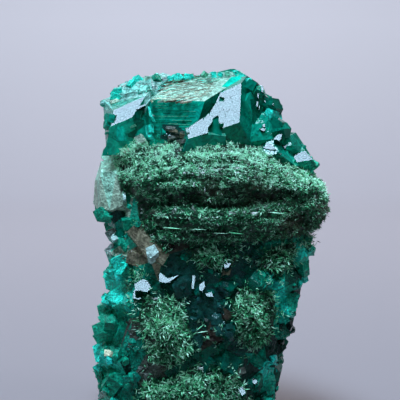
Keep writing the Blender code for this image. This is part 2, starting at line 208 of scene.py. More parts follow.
def welded_copy(node, name):
    """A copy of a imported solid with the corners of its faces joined."""
    bm = bmesh.new()
    bm.from_mesh(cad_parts[node].data)
    bmesh.ops.remove_doubles(bm, verts=bm.verts, dist=0.0005 * MM)
    mesh = mesh_of(bm, name)
    mesh.materials.clear()
    for layer in list(mesh.uv_layers):
        mesh.uv_layers.remove(layer)
    mesh.polygons.foreach_set("use_smooth", [False] * len(mesh.polygons))
    return object_of(mesh, name)


def give_finish(mesh, finishes):
    """Writes each face's own colour and matness, which the material reads."""
    colours = [(*colour, 1.0) for colour, _ in finishes]
    matness = [matt for _, matt in finishes]
    colour_of = mesh.attributes.new("colour", "FLOAT_COLOR", "FACE")
    colour_of.data.foreach_set("color", np.array(colours).ravel())
    matness_of = mesh.attributes.new("matness", "FLOAT", "FACE")
    matness_of.data.foreach_set("value", matness)


def mixed(first, second, share):
    """A finish between two finishes."""
    share = min(1.0, max(0.0, share))
    colour = tuple(a + (b - a) * share for a, b in zip(first[0], second[0]))
    return colour, first[1] + (second[1] - first[1]) * share


def inside(point, low, high):
    return all(low[i] * MM <= point[i] <= high[i] * MM for i in range(3))


def beside_own_face(point):
    """True within a hair of a face of its own, whichever way the surface lies there."""
    for centre, bearing, tilt, distance, _ in OWN_FACES:
        offset = point - Vector(centre) * MM - LAID_OUT
        height = direction(bearing, tilt).dot(offset) - distance * MM
        if offset.length < 10.0 * MM and abs(height) < 0.3 * MM:
            return True
    return False


def own_face(point, normal):
    """The finish of the row of OWN_FACES that a place on the crystals belongs to, or None."""
    for centre, bearing, tilt, distance, finish in OWN_FACES:
        facing = direction(bearing, tilt)
        offset = point - Vector(centre) * MM - LAID_OUT
        height = facing.dot(offset) - distance * MM
        if offset.length < 14.0 * MM and abs(height) < 0.06 * MM and facing.dot(normal) > 0.998:
            return FINISHES[finish]
    return None


def side_share(across, up):
    """0 in the middle of the specimen's front, rising to 1 at its left and right edges."""
    middle = MIDDLE_AT_FOOT + MIDDLE_MOVES * min(1.0, max(0.0, up / MIDDLE_TOP))
    return min(1.0, max(0.0, (abs(across - middle) / HALF_FRONT - SIDES_FROM) / SIDES_WITHIN))


def clouded(clouds, cloud):
    """The finish that clouds of two finishes have at a place."""
    first, second, gain, offset = clouds
    return mixed(FINISHES[first], FINISHES[second], gain * cloud + offset)


def finish_at(point, normal):
    """The finish of the dioptase at a place: its own, a patch's, or deeper and brighter green in clouds."""
    own = own_face(point, normal)
    if own:
        return own
    for low, high, finish in OWN_CRYSTALS:
        if inside(point, low, high):
            return FINISHES[finish]
    cloud = 0.5 + 0.5 * noise.noise(point / (CLOUD * MM) + normal * 0.8)
    if inside(point, *LEFT_CROWN):
        crust = clouded(CRUST_CLOUDS, cloud)
        return mixed(FINISHES["teal"], crust, 0.75 + noise.noise(point / (CRUST_CLOUD * MM)))
    across, up = seen_at(point)
    if normal.y < 0.45:
        for patch_across, patch_up, reach, finish in PATCHES:
            ragged = reach * (1.0 + PATCH_RAG * noise.noise(point / (PATCH_CLOUD * MM)))
            if math.hypot(across - patch_across, up - patch_up) < ragged:
                return FINISHES[finish]
    # Painted shade: faces that turn right below BREAK_TOP take the dark side clouds
    if normal.x > 0.45 and up < BREAK_TOP:
        return clouded(SIDE_CLOUDS, cloud)
    if up > CROWN_FOOT:
        return clouded(CROWN_CLOUDS, cloud)
    # Partly painted light: across the front the finish runs from the dark middle clouds to paler, frosted
    # turquoise edge clouds at left and right, standing in for light shining through the thinner crystal there
    return mixed(clouded(MIDDLE_CLOUDS, cloud), clouded(EDGE_CLOUDS, cloud), side_share(across, up))


def join_to(body, other, operation="UNION"):
    """Joins the other mesh to the body, or cuts it out, and removes it."""
    modifier = body.modifiers.new("join", "BOOLEAN")
    modifier.operation = operation
    modifier.solver = "MANIFOLD"
    modifier.object = other
    bpy.context.view_layer.update()
    result = bpy.data.meshes.new_from_object(body.evaluated_get(bpy.context.evaluated_depsgraph_get()))
    body.modifiers.clear()
    body.data = result
    bpy.data.objects.remove(other, do_unlink=True)


crystals = welded_copy("dioptase_crystals", "dioptase_crystal_body")
give_finish(crystals.data, [finish_at(face.center, face.normal) for face in crystals.data.polygons])
bare_tree = surface_of(crystals)

# The chips and cracks in the large mirror face
# The clear face at the top has a piece broken out of its lower edge, a short slit and a forked crack.
# They are cut into the crystal here, where the viewer sees each one on the face.

# Each is its outline, as across and up, and its depth
CHIPS = (
    (((-0.6, 53.9), (0.1, 56.4), (1.3, 57.0), (1.5, 55.4), (2.3, 55.5), (1.9, 53.4)), 0.75),
    (((1.4, 60.1), (2.4, 59.9), (2.3, 59.2), (1.4, 59.2)), 0.45),
)
CRACKS = (
    ((1.5, 57.0), (1.9, 58.1)),
    ((1.9, 58.1), (2.6, 57.3)),
    ((2.6, 57.3), (3.4, 58.0)),
    ((2.6, 57.3), (2.5, 56.2)),
    ((3.3, 60.6), (3.8, 59.0)),
    ((0.7, 59.4), (1.5, 58.2)),
)
CHIP_SLANT = (0.30, -0.35)
CHIP_TAPER = 0.8
CRACK_WIDTH = 0.09
CRACK_DEPTH = 0.18
CRACK_TAPER = 0.4
CRACK_TIP = 0.05
CUTTER_ABOVE = 0.3
UPRIGHT = (0.0, 0.0)
MIRROR_FACE = (Vector((3.6, -2.2, 56.0)) * MM + LAID_OUT, direction(-4, 37), 5.2 * MM)


def on_plane(across, up, point, facing):
    """The point of a plane that the viewer sees at a place."""
    sight = Vector((across * MM, 0.0, up * MM)) - EYE
    return EYE + sight * (facing.dot(point - EYE) / facing.dot(sight))


def on_mirror_face(across, up):
    centre, facing, distance = MIRROR_FACE
    return on_plane(across, up, centre + facing * distance, facing)


def finished(bm, finish, name):
    """A closed bmesh as an object with one finish all over."""
    bmesh.ops.recalc_face_normals(bm, faces=bm.faces)
    mesh = mesh_of(bm, name)
    give_finish(mesh, [finish] * len(mesh.polygons))
    return object_of(mesh, name)


def band(bm, first, second):
    """Faces all round between two rings of corners."""
    for i in range(len(first)):
        j = (i + 1) % len(first)
        bm.faces.new((first[i], second[i], second[j], first[j]))


def prism(outline, facing, above, below, taper, slant, finish, name):
    """A prism through an outline, drawn in by taper at its lower end, which slopes by slant across and up."""
    middle = sum(outline, Vector()) / len(outline)
    bm = bmesh.new()
    top = [bm.verts.new(point + facing * above) for point in outline]
    low = []
    for point in outline:
        offset = (point - middle) * taper
        depth = below + slant[0] * offset.x + slant[1] * offset.z
        low.append(bm.verts.new(middle + offset - facing * depth))
    bm.faces.new(top)
    bm.faces.new(low)
    band(bm, top, low)
    bmesh.ops.triangulate(bm, faces=[face for face in bm.faces if len(face.verts) > 4])
    return finished(bm, finish, name)


def crack_outline(start, end):
    """A long sliver round the line of a crack."""
    along = (end - start).normalized()
    aside = along.cross(MIRROR_FACE[1]) * (CRACK_WIDTH / 2.0 * MM)
    tip = along * CRACK_TIP * MM
    return [start - tip, start + aside, end + aside, end + tip, end - aside, start - aside]


def cut_out(outline, facing, above, below, taper, slant, finish):
    """Cuts a prism out of the body and gives the cut a finish."""
    cutter = prism(outline, facing, above * MM, below * MM, taper, slant, FINISHES[finish], "cutter")
    join_to(crystals, cutter, "DIFFERENCE")


for outline, depth in CHIPS:
    chip = [on_mirror_face(*place) for place in outline]
    cut_out(chip, MIRROR_FACE[1], CUTTER_ABOVE, depth, CHIP_TAPER, CHIP_SLANT, "emerald")
for start, end in CRACKS:
    sliver = crack_outline(on_mirror_face(*start), on_mirror_face(*end))
    cut_out(sliver, MIRROR_FACE[1], CUTTER_ABOVE, CRACK_DEPTH, CRACK_TAPER, UPRIGHT, "dark")

# The broken sides
# The right side is a flat break that leans out from the foot and recedes from the viewer. Crystals that
# would stand past it ended there. Smaller breaks take off the left shoulder's corner, the crest, the
# pale crystal's edge and a crystal that stood out at the foot.

# Bearing and tilt of the break, a place on it, its lowest and highest point, finish
BREAKS = (
    # The right break's dusk green is painted shade on the side turned away from the key lamp
    ((82, -12.4), (17.1, 7.0, 26.7), (2.0, 33.0), "dusk green"),
    ((-75, 10.6), (-16.9, -4.0, 59.9), (51.0, 66.0), "teal"),
    ((180, 80), (5.0, 4.6, 64.3), (62.6, 66.0), "turquoise crust"),
    ((-78, 15.5), (-18.7, -3.5, 48.5), (45.5, 51.0), "pale turquoise"),
    ((33, 0), (9.0, -7.3, 5.0), (0.8, 9.0), "emerald frost"),
)
BREAK_REACH = 16.0
BREAK_THICK = 8.0


def break_outline(facing, place, heights):
    """The corners of a break, wider than the specimen."""
    along = facing.cross(Vector((0.0, 0.0, 1.0))).normalized()
    upward = along.cross(facing)
    low, high = heights
    corners = []
    for side, height in ((-1, low), (1, low), (1, high), (-1, high)):
        start = Vector(place) * MM + along * side * BREAK_REACH * MM
        corners.append(start + upward * ((height * MM - start.z) / upward.z))
    return corners


for way, place, heights, finish in BREAKS:
    facing = direction(*way)
    cut_out(break_outline(facing, place, heights), facing, BREAK_THICK, 0.0, 1.0, UPRIGHT, finish)

# The growth lines of the striated crystal
# The broad front face grew in fine steps that run across it, each a hair proud of the last, and the top
# above it is frosted with slivers that lie aslant. Both are of the crystal's own substance and joined
# to it.

STRIATED_CENTRE = Vector((-3.0, -1.5, 56.0)) * MM + LAID_OUT
FRONT_FACE = (direction(-6, -4), 6.9 * MM)
TOP_FACE = (direction(0, 70), 6.0 * MM)
STRIAE = 42
STRIAE_LOW = 53.8
STRIAE_HIGH = 59.6
STRIAE_LEFT = -10.2
STRIAE_RIGHT = -1.4
STRIAE_DRAW_IN = 0.30
BRIGHT_STRIAE = ("bright emerald", "lit emerald", "teal", "bright emerald")
DEEP_STRIAE = ("emerald", "deep emerald", "teal", "bright emerald")
PALE_LINES = 0.14
LINE_PROUD = (0.015, 0.05)
LINE_GAP = 0.3
SHORTEST_LINE = 0.8
BAR_SUNK = 0.25
# The bar's upper edge is this share as proud as its lower one, and its far end is drawn in to this share
BAR_UPPER = 0.6
BAR_END = 0.9
FROST_SLIVERS = 330
SLIVER_LENGTH = (0.4, 2.4)
SLIVER_WIDTH = (0.07, 0.18)
SLIVER_SLANT = (24.0, 9.0)
TOP_BACK = (-5.7, 6.4)
TOP_ACROSS = (-6.6, 1.6)
TOP_SKEW = 0.28
BAND_DEPTH = 4.3
BAND_SCATTER = 1.2
# The slivers' finishes from the front of the top to its back
FROST_BANDS = (
    ("cream", "yellow-green frost", "sage frost", "beige", "warm grey"),
    ("warm grey", "brown frost", "sage frost", "brown frost", "yellow-green frost"),
    ("mint", "sage frost", "turquoise crust", "mint", "brown frost"),
)


def bar(middle, along, upward, outward, length, height, proud, finish):
    """A low bar with sloping ends and front, half sunk in a face."""
    bm = bmesh.new()
    half = length / 2.0
    edge = height / 2.0
    sunk = BAR_SUNK * MM
    profile = ((-edge, -sunk), (-edge, proud), (edge, proud * BAR_UPPER), (edge, -sunk))
    ends = []
    for sign, draw in ((-1.0, 1.0), (1.0, BAR_END)):
        end = middle + along * sign * half * draw
        ends.append([bm.verts.new(end + upward * u + outward * v) for u, v in profile])
    bm.faces.new(ends[0])
    bm.faces.new(ends[1])
    band(bm, *ends)
    return finished(bm, finish, "bar")


def joined(parts, name):
    """Several separate meshes as one object."""
    bm = bmesh.new()
    for part in parts:
        bm.from_mesh(part.data)
        bpy.data.objects.remove(part, do_unlink=True)
    return object_of(mesh_of(bm, name), name)


def growth_lines(chance):
    """Stepped bars up the front face, a row at a time."""
    outward, distance = FRONT_FACE
    along = Vector((0.0, 0.0, 1.0)).cross(outward).normalized()
    upward = outward.cross(along)
    pitch = (STRIAE_HIGH - STRIAE_LOW) / STRIAE
    rows = []
    for row in range(STRIAE):
        up = STRIAE_LOW + pitch * (row + 0.5)
        right = STRIAE_RIGHT - STRIAE_DRAW_IN * (STRIAE_HIGH - up) - chance.uniform(0.0, 0.8)
        left = STRIAE_LEFT + chance.uniform(0.0, 2.5) * chance.random()
        breaks = sorted(chance.uniform(left, right) for _ in range(chance.choice((0, 1, 1, 2))))
        for low, high in zip([left] + breaks, breaks + [right]):
            if high - low < SHORTEST_LINE:
                continue
            middle = STRIATED_CENTRE + outward * distance
            middle += along * ((low + high - LINE_GAP) / 2.0 * MM - middle.x) + upward * (up * MM - middle.z)
            proud = chance.uniform(*LINE_PROUD) * MM
            height = pitch * chance.uniform(0.35, 0.85) * MM
            bright = (up - STRIAE_LOW) / (STRIAE_HIGH - STRIAE_LOW) > chance.uniform(0.1, 0.9)
            finish = FINISHES[chance.choice(BRIGHT_STRIAE if bright else DEEP_STRIAE)]
            if chance.random() < PALE_LINES:
                height *= 0.4
                finish = FINISHES["mint"]
            length = (high - low - LINE_GAP) * MM
            rows.append(bar(middle, along, upward, outward, length, height, proud, finish))
    return joined(rows, "growth_lines")


def apart(places, radii, gap=0.0):
    """Sorts places into batches in which no two stand within reach of each other."""
    batches = []
    for number in range(len(places)):
        for batch in batches:
            others = np.array(batch)
            gaps = np.linalg.norm(places[others] - places[number], axis=1) - radii[others] - radii[number]
            if gaps.min() > gap:
                batch.append(number)
                break
        else:
            batches.append([number])
    return batches


def frost_slivers(chance):
    """Slivers that lie aslant on the frosted top, sorted so that each batch can be joined at once."""
    outward, distance = TOP_FACE
    across = Vector((1.0, 0.0, 0.0))
    back = outward.cross(across)
    slivers = []
    for _ in range(FROST_SLIVERS):
        back_by = chance.uniform(*TOP_BACK)
        across_by = chance.uniform(*TOP_ACROSS) + TOP_SKEW * (back_by + 6.0)
        middle = STRIATED_CENTRE + outward * distance + across * across_by * MM + back * back_by * MM
        slant = math.radians(chance.gauss(*SLIVER_SLANT))
        along = across * math.cos(slant) + back * math.sin(slant)
        length = chance.uniform(*SLIVER_LENGTH) * MM
        behind = back_by + chance.gauss(TOP_BACK[1], BAND_SCATTER)
        finish = FINISHES[chance.choice(FROST_BANDS[min(2, max(0, int(behind / BAND_DEPTH)))])]
        wide = chance.uniform(*SLIVER_WIDTH) * MM
        proud = chance.uniform(*LINE_PROUD) * MM
        slivers.append((middle, along, outward.cross(along), outward, length, wide, proud, finish))
    places = np.array([sliver[0] for sliver in slivers])
    radii = np.array([sliver[4] / 2.0 + sliver[5] for sliver in slivers])
    return [joined([bar(*slivers[i]) for i in batch], "slivers") for batch in apart(places, radii)]


join_to(crystals, growth_lines(random.Random(7)))
for batch in frost_slivers(random.Random(8)):
    join_to(crystals, batch)

# The druse
# Small dioptase crystals crowd every wall between the large ones: six-sided prisms with a three-faced
# end. They are grown from the same walls and joined to the body in layers, so that the whole stays one
# solid.

END_FACE_ANGLE = 51.0
FORMS = 14
MAT_NODES = [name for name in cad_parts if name.startswith("malachite")]
# Count, places tried for each, range of radius, range of the share of it that is sunk, how they lean
WALL_DRUSE = (4000, 6, (0.24, 0.92), (0.20, 0.75), 0.42)
CROWN_DRUSE = (560, 6, (0.35, 0.85), (0.60, 1.00), 0.30)
CRUST = (2600, 24, (0.16, 0.44), (0.45, 0.95), 0.45)
FORM_LENGTH = (1.1, 1.6)
SIDE_OUT = (0.8, 1.15)
END_OUT = (0.85, 1.15)
# A crystal's reach, in its radii, and how many more of the small ones there are
CRYSTAL_REACH = 1.75
SMALL_ONES = 1.9
# Crystals are smaller and sunk deeper on the sides
SMALLER_RIGHT = 0.55
SMALLER = 0.25
DEEPER = 0.50
# How brightness, blue and matness drift from one crystal to the next
DRIFT = (0.6, 1.3)
BLUE_DRIFT = (0.9, 1.1)
MATT_DRIFT = (0.5, 1.2)
# The walls start above the sawn foot and end below the crest
WALLS_FROM = 1.6
WALLS_TO = 61.5


def crystal_form(chance):
    """Points and faces of one crystal of unit radius that stands along +Z, no two faces quite alike."""
    bm = bmesh.new()
    bmesh.ops.create_cube(bm, size=10.0)
    length = chance.uniform(*FORM_LENGTH)
    cuts = [(Vector((0.0, 0.0, -1.0)), 1.0)]
    for side in range(6):
        turn = math.radians(30.0 + 60.0 * side)
        cuts.append((Vector((math.cos(turn), math.sin(turn), 0.0)), chance.uniform(*SIDE_OUT)))
    lean = math.radians(END_FACE_ANGLE)
    for end in range(3):
        turn = math.radians(120.0 * end)
        facing = Vector((math.sin(lean) * math.cos(turn), math.sin(lean) * math.sin(turn), math.cos(lean)))
        cuts.append((facing, length * math.cos(lean) * chance.uniform(*END_OUT)))
    for facing, distance in cuts:
        cut = bmesh.ops.bisect_plane(
            bm,
            geom=bm.verts[:] + bm.edges[:] + bm.faces[:],
            dist=1e-6,
            plane_co=facing * distance,
            plane_no=facing,
            clear_outer=True,
        )
        rim = [edge for edge in cut["geom_cut"] if isinstance(edge, bmesh.types.BMEdge)]
        if rim:
            bmesh.ops.contextual_create(bm, geom=rim)
    bmesh.ops.recalc_face_normals(bm, faces=bm.faces)
    bm.verts.index_update()
    points = np.array([vertex.co for vertex in bm.verts])
    faces = [[vertex.index for vertex in face.verts] for face in bm.faces]
    bm.free()
    return points, faces


def crystals_mesh(batch, name):
    """One mesh of crystals that stand clear of each other."""
    points = []
    faces = []
    finishes = []
    start = 0
    for form, place, turn, size, finish in batch:
        points.append(form[0] @ (turn * size).T + place)
        faces += [[start + corner for corner in face] for face in form[1]]
        finishes += [finish] * len(form[1])
        start += len(form[0])
    mesh = bpy.data.meshes.new(name)
    mesh.from_pydata(np.vstack(points).tolist(), [], faces)
    give_finish(mesh, finishes)
    return object_of(mesh, name)


def grow_on(body, grown):
    """Joins crystals to the body, one layer of separate crystals at a time."""
    places = np.array([crystal[1] for crystal in grown])
    radii = np.array([crystal[3] * CRYSTAL_REACH for crystal in grown])
    for layer in apart(places, radii, 0.01 * MM):
        join_to(body, crystals_mesh([grown[i] for i in layer], "layer"))


def places_on(mesh, count, numbers):
    """Points spread evenly over a mesh's faces, with each face's normal."""
    mesh.calc_loop_triangles()
    corners = np.zeros(len(mesh.loop_triangles) * 3, int)
    mesh.loop_triangles.foreach_get("vertices", corners)
    points = np.zeros(len(mesh.vertices) * 3)
    mesh.vertices.foreach_get("co", points)
    a, b, c = (points.reshape(-1, 3)[corners.reshape(-1, 3)[:, i]] for i in range(3))
    cross = np.cross(b - a, c - a)
    area = np.linalg.norm(cross, axis=1)
    chosen = numbers.choice(len(area), count, p=area / area.sum())
    u = numbers.random((count, 1))
    v = numbers.random((count, 1))
    fold = u + v > 1.0
    u = np.where(fold, 1.0 - u, u)
    v = np.where(fold, 1.0 - v, v)
    spots = a[chosen] + u * (b - a)[chosen] + v * (c - a)[chosen]
    return spots, cross[chosen] / area[chosen][:, None]


def turn_to(axis, spin):
    """The turn that stands a crystal along an axis."""
    return np.array(axis.to_track_quat("Z", "Y").to_matrix() @ Matrix.Rotation(spin, 3, "Z"))


def packed_surface(node):
    bm = bmesh.new()
    bm.from_mesh(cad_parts[node].data)
    surface = BVHTree.FromBMesh(bm)
    bm.free()
    return surface


mat_trees = [packed_surface(name) for name in MAT_NODES]


def covered(spot, reach):
    """True where malachite lies over a spot."""
    return any(tree.find_nearest(spot, reach)[0] is not None for tree in mat_trees)


def own_crystal(spot):
    return any(inside(spot, low, high) for low, high, _ in OWN_CRYSTALS)


def druse(kind, wanted, forms, chance, numbers):
    """Crystals of a kind at random places of the body that wanted allows."""
    count, tries, sizes, sunk, freedom = kind
    spots, normals = places_on(crystals.data, count * tries, numbers)
    grown = []
    for spot, normal in zip(spots, normals):
        spot = Vector(spot)
        normal = Vector(normal)
        if len(grown) == count:
            break
        if beside_own_face(spot) or own_crystal(spot) or not wanted(spot, normal):
            continue
        lean = Vector((chance.gauss(0.0, 1.0), chance.gauss(0.0, 1.0), chance.gauss(0.0, 1.0))) * freedom
        axis = (normal + lean).normalized()
        flat = max(side_share(*seen_at(spot)), min(1.0, 2.0 * normal.x))
        smaller = 1.0 - (SMALLER_RIGHT if normal.x > 0.85 else SMALLER) * flat
        size = (sizes[0] + (sizes[1] - sizes[0]) * chance.random() ** SMALL_ONES) * smaller * MM
        depth = chance.uniform(*sunk) + DEEPER * flat
        (red, green, blue), matt = finish_at(spot, normal)
        drift = chance.uniform(*DRIFT)
        colour = (red * drift, green * drift, blue * drift * chance.uniform(*BLUE_DRIFT))
        finish = colour, matt * chance.uniform(*MATT_DRIFT)
        turn = turn_to(axis, chance.uniform(0.0, math.tau))
        grown.append((chance.choice(forms), np.array(spot - axis * size * depth), turn, size, finish))
    return grown


def on_the_walls(spot, normal):
    """The walls below the crown, the back and the sides, clear of the malachite and of the sawn foot."""
    if spot.z < WALLS_FROM * MM or spot.z > WALLS_TO * MM or normal.z < -0.95:
        return False
    in_front = spot.z > CROWN_FOOT * MM and spot.y < 3.0 * MM
    return not in_front and not covered(spot, 0.6 * MM)


def on_the_left_crown(spot, normal):
    behind = CROWN_FOOT * MM < spot.z < 60.0 * MM and spot.y > 2.0 * MM
    return behind or (inside(spot, *LEFT_CROWN) and spot.z < 62.4 * MM)


def on_the_crown(spot, normal):
    """A fine crust on the left, the rims and the hollows of the crown."""
    top_edge = spot.z > 61.0 * MM and spot.x > -6.0 * MM
    if spot.z < CROWN_FOOT * MM or top_edge or covered(spot, 0.5 * MM):
        return False
    cloud = noise.noise(spot / (2.2 * MM))
    right = spot.x > 6.4 * MM and cloud > -0.20
    left = spot.x < -9.0 * MM and (cloud > 0.12 or normal.x < -0.5)
    return right or left or spot.y > 2.0 * MM or inside(spot, *LEFT_CROWN)


chance = random.Random(31)
numbers = np.random.default_rng(5)
forms = [crystal_form(chance) for _ in range(FORMS)]
grow_on(crystals, druse(CROWN_DRUSE, on_the_left_crown, forms, chance, numbers))
grow_on(crystals, druse(WALL_DRUSE, on_the_walls, forms, chance, numbers))
grow_on(crystals, druse(CRUST, on_the_crown, forms, chance, numbers))

# The grains
# Single grains show among the druse: grey rubble in a hollow under the striated face, and pale, brown
# and frosted blocks. Larger crystals make the left edge and the crown's rim. All are bedded in the wall
# that they show on.

# Up, how far in from the left edge, radius, bearing, finish
LUMPS = (
    (39.9, 0.5, 1.3, -80, "emerald frost"),
    (38.7, 0.4, 1.9, -85, "teal"),
    (37.4, 0.4, 1.9, -75, "emerald frost"),
    (36.3, 0.4, 1.3, -80, "grey"),
    (39.4, 2.2, 1.4, -40, "dusk green"),
    (38.0, 2.6, 1.4, -30, "emerald frost"),
    (22.6, 0.2, 1.2, -75, "emerald frost"),
    (20.9, 0.2, 1.4, -70, "emerald frost"),
    (19.2, 0.2, 1.3, -80, "emerald frost"),
    (17.6, 0.2, 1.3, -70, "emerald frost"),
    (23.8, 0.5, 1.0, -75, "turquoise crust"),
    (20.2, 1.8, 1.2, -30, "emerald frost"),
    (18.2, 1.8, 1.1, -30, "emerald frost"),
)
LEFT_OF_ALL = -24.0
EDGE_STEP = 0.2
# Across, up, radius, finish
RIM_LUMPS = (
    (-12.2, 62.8, 0.9, "turquoise crust"),
    (-13.7, 62.0, 0.9, "turquoise crust"),
    (-15.8, 60.9, 1.0, "turquoise crust"),
    (-16.6, 60.2, 0.9, "turquoise crust"),
    (-10.8, 63.1, 0.9, "pale turquoise"),
    (-9.4, 63.0, 0.9, "emerald frost"),
    (-8.2, 62.8, 0.7, "white frost"),
    (-6.7, 63.0, 0.8, "turquoise crust"),
    (-5.3, 63.2, 0.9, "turquoise crust"),
    (-3.9, 63.3, 0.9, "turquoise crust"),
    (-16.7, 58.9, 0.8, "sage frost"),
    (-17.0, 56.5, 1.0, "teal"),
    (-17.6, 55.2, 1.0, "teal"),
    (-1.0, 63.7, 0.8, "mint"),
    (0.4, 63.8, 0.7, "turquoise crust"),
    (1.6, 63.9, 0.6, "turquoise crust"),
    (3.0, 64.1, 0.6, "mint"),
    (4.3, 64.0, 0.7, "turquoise crust"),
    (5.0, 63.4, 0.9, "turquoise crust"),
    (6.2, 62.6, 0.9, "turquoise crust"),
    (7.1, 61.7, 1.2, "emerald"),
    (8.1, 60.8, 1.3, "emerald frost"),
    (9.0, 59.6, 1.5, "emerald"),
    (9.9, 58.4, 1.5, "deep emerald"),
    (10.5, 57.1, 1.4, "turquoise crust"),
    (11.3, 55.2, 1.6, "emerald"),
    (11.3, 54.1, 1.4, "emerald"),
    (16.7, 35.1, 1.2, "emerald frost"),
    (16.3, 30.3, 1.2, "emerald frost"),
    (15.9, 29.1, 1.1, "turquoise crust"),
    (5.5, 35.6, 1.0, "warm grey"),
)
CROWN_MIDDLE = (-2.0, 54.0)
WALK_STEPS = 30
# Across, up, width, height, turn in degrees, finish
BLOCKS = (
    (-7.1, 54.7, 1.6, 0.5, -8, "grey"),
    (-6.7, 54.2, 2.0, 0.5, -5, "warm grey"),
    (-5.8, 53.8, 1.6, 0.5, 5, "grey"),
    (-5.2, 54.1, 0.9, 0.7, 20, "dark"),
    (-7.4, 53.6, 1.0, 0.6, 0, "dark"),
    (-6.4, 53.2, 1.8, 0.6, 8, "grey"),
    (-4.8, 53.2, 1.2, 0.8, -20, "warm grey"),
    (-4.1, 54.3, 0.5, 0.8, 10, "white frost"),
    (-8.1, 54.1, 0.5, 0.9, 10, "teal"),
    (-4.6, 52.4, 1.2, 0.7, 15, "grey"),
    (-8.8, 53.1, 1.0, 0.8, -30, "emerald frost"),
    (-10.2, 54.6, 0.7, 1.6, 5, "turquoise crust"),
    (-10.7, 53.8, 0.8, 1.2, -10, "turquoise crust"),
    (-13.5, 54.9, 0.9, 0.4, 20, "mint"),
    (-12.3, 52.7, 1.6, 1.4, 20, "sage frost"),
    (-10.5, 57.4, 0.4, 1.6, 10, "turquoise crust"),
    (-10.3, 56.9, 0.9, 0.3, -15, "white frost"),
    (-14.9, 50.8, 0.9, 0.6, 10, "beige"),
    (-14.1, 50.6, 1.1, 0.7, -38, "beige"),
    (-13.4, 50.9, 0.8, 0.8, -33, "cream"),
    (-18.3, 14.6, 1.1, 1.0, -5, "cream"),
    (-19.1, 6.7, 1.6, 1.3, -7, "white frost"),
    (11.3, 36.2, 1.2, 1.3, -7, "mint"),
    (9.1, 31.0, 1.3, 0.8, -1, "mint"),
    (9.5, 31.6, 0.8, 0.9, 7, "mint"),
    (5.7, 11.2, 1.2, 1.2, 9, "grey"),
    (6.6, 5.6, 1.6, 1.1, 20, "sage frost"),
    (3.0, 5.6, 1.3, 1.4, 30, "grey"),
    (0.5, 7.0, 1.2, 0.7, -3, "turquoise crust"),
    (-17.6, 35.8, 1.5, 1.4, 25, "white frost"),
    (3.0, 29.3, 1.1, 0.9, -4, "warm grey"),
)
BLOCK_PROUD = 0.30
BLOCK_SPREAD = 1.25
BLOCK_DEPTH = 1.5
BLOCK_OUTLINE = ((-0.5, -0.5), (0.5, -0.5), (0.5, 0.3), (0.3, 0.5), (-0.5, 0.5))
BLOCK_RAG = 0.12
LUMP_SUNK = 0.4
# Facets and hollows that show a finish of their own: outline as across and up, bearing and tilt, finish
FACETS = (
    # This first, dark one stands for the hollow under the striated face: painted shade on a flat piece
    (
        ((-8.3, 55.3), (-5.7, 55.2), (-3.6, 55.4), (-3.4, 53.9), (-3.8, 52.0), (-6.7, 52.0), (-8.8, 52.9)),
        (0, 0),
        "dark",
    ),
    (
        ((-14.7, 55.7), (-13.4, 56.5), (-11.5, 56.0), (-11.4, 53.9), (-12.4, 52.7), (-14.3, 53.1)),
        (15, -5),
        "deep emerald",
    ),
    (((-17.4, 54.5), (-15.2, 54.8), (-14.7, 52.4), (-17.1, 52.4)), (-10, -8), "lit emerald"),
    (((7.1, 59.6), (8.8, 60.2), (10.1, 57.7), (9.7, 55.2), (7.5, 54.6)), (38, 5), "deep emerald"),
    (
        ((3.5, 63.4), (5.0, 63.6), (5.5, 62.6), (1.9, 60.7), (0.4, 59.9), (0.9, 60.8)),
        (-10, 55),
        "lit emerald",
    ),
    (
        ((-1.9, 63.5), (-0.8, 64.0), (1.9, 64.3), (4.2, 64.3), (5.2, 63.6), (4.7, 63.3), (1.9, 63.4)),
        (0, 24),
        "yellow-green frost",
    ),
)
FACET_PROUD = 0.1


def seen_from_the_front(tree, across, up):
    """The place on a mesh that the viewer meets, and the face's normal there."""
    place, normal, _, _ = tree.ray_cast(EYE, (Vector((across * MM, 0.0, up * MM)) - EYE).normalized())
    return place, normal


def left_edge(tree, up):
    """The across at which the viewer first meets a mesh, going in from the left."""
    across = LEFT_OF_ALL
    while seen_from_the_front(tree, across, up)[0] is None:
        across += EDGE_STEP
    return across


def on_the_rim(tree, across, up):
    """A place as deep as the mesh that the viewer meets first on the way from there to the crown's middle."""
    met = None
    step = 0
    while met is None:
        share = step / WALK_STEPS
        walked = across + (CROWN_MIDDLE[0] - across) * share, up + (CROWN_MIDDLE[1] - up) * share
        met = seen_from_the_front(tree, *walked)[0]
        step += 1
    return on_plane(across, up, met, Vector((0.0, 1.0, 0.0)))


def lump(place, axis, radius, finish):
    """A crystal bedded by a share of its radius."""
    turn = turn_to(axis, chance.uniform(0.0, math.tau))
    bedded = np.array(place - axis * LUMP_SUNK * radius * MM)
    return chance.choice(forms), bedded, turn, radius * MM, FINISHES[finish]


def middle_of(outline):
    count = len(outline)
    return sum(place[0] for place in outline) / count, sum(place[1] for place in outline) / count


def set_on(tree, outline, facing, proud, depth, spread, finish):
    """Joins a flat-topped piece to the body where the viewer meets it, with the outline that shows."""
    place, _ = seen_from_the_front(tree, *middle_of(outline))
    lifted = place + facing * proud * MM
    rim = [on_plane(*corner, lifted, facing) for corner in outline]
    join_to(crystals, prism(rim, facing, 0.0, depth * MM, spread, UPRIGHT, FINISHES[finish], "block"))


def block_corners(across, up, width, height, turn):
    """Five corners of a broken block."""
    corners = []
    t = math.radians(turn)
    for x, z in BLOCK_OUTLINE:
        x = (x + chance.uniform(-BLOCK_RAG, BLOCK_RAG)) * width
        z = (z + chance.uniform(-BLOCK_RAG, BLOCK_RAG)) * height
        corners.append((across + x * math.cos(t) - z * math.sin(t), up + x * math.sin(t) + z * math.cos(t)))
    return corners


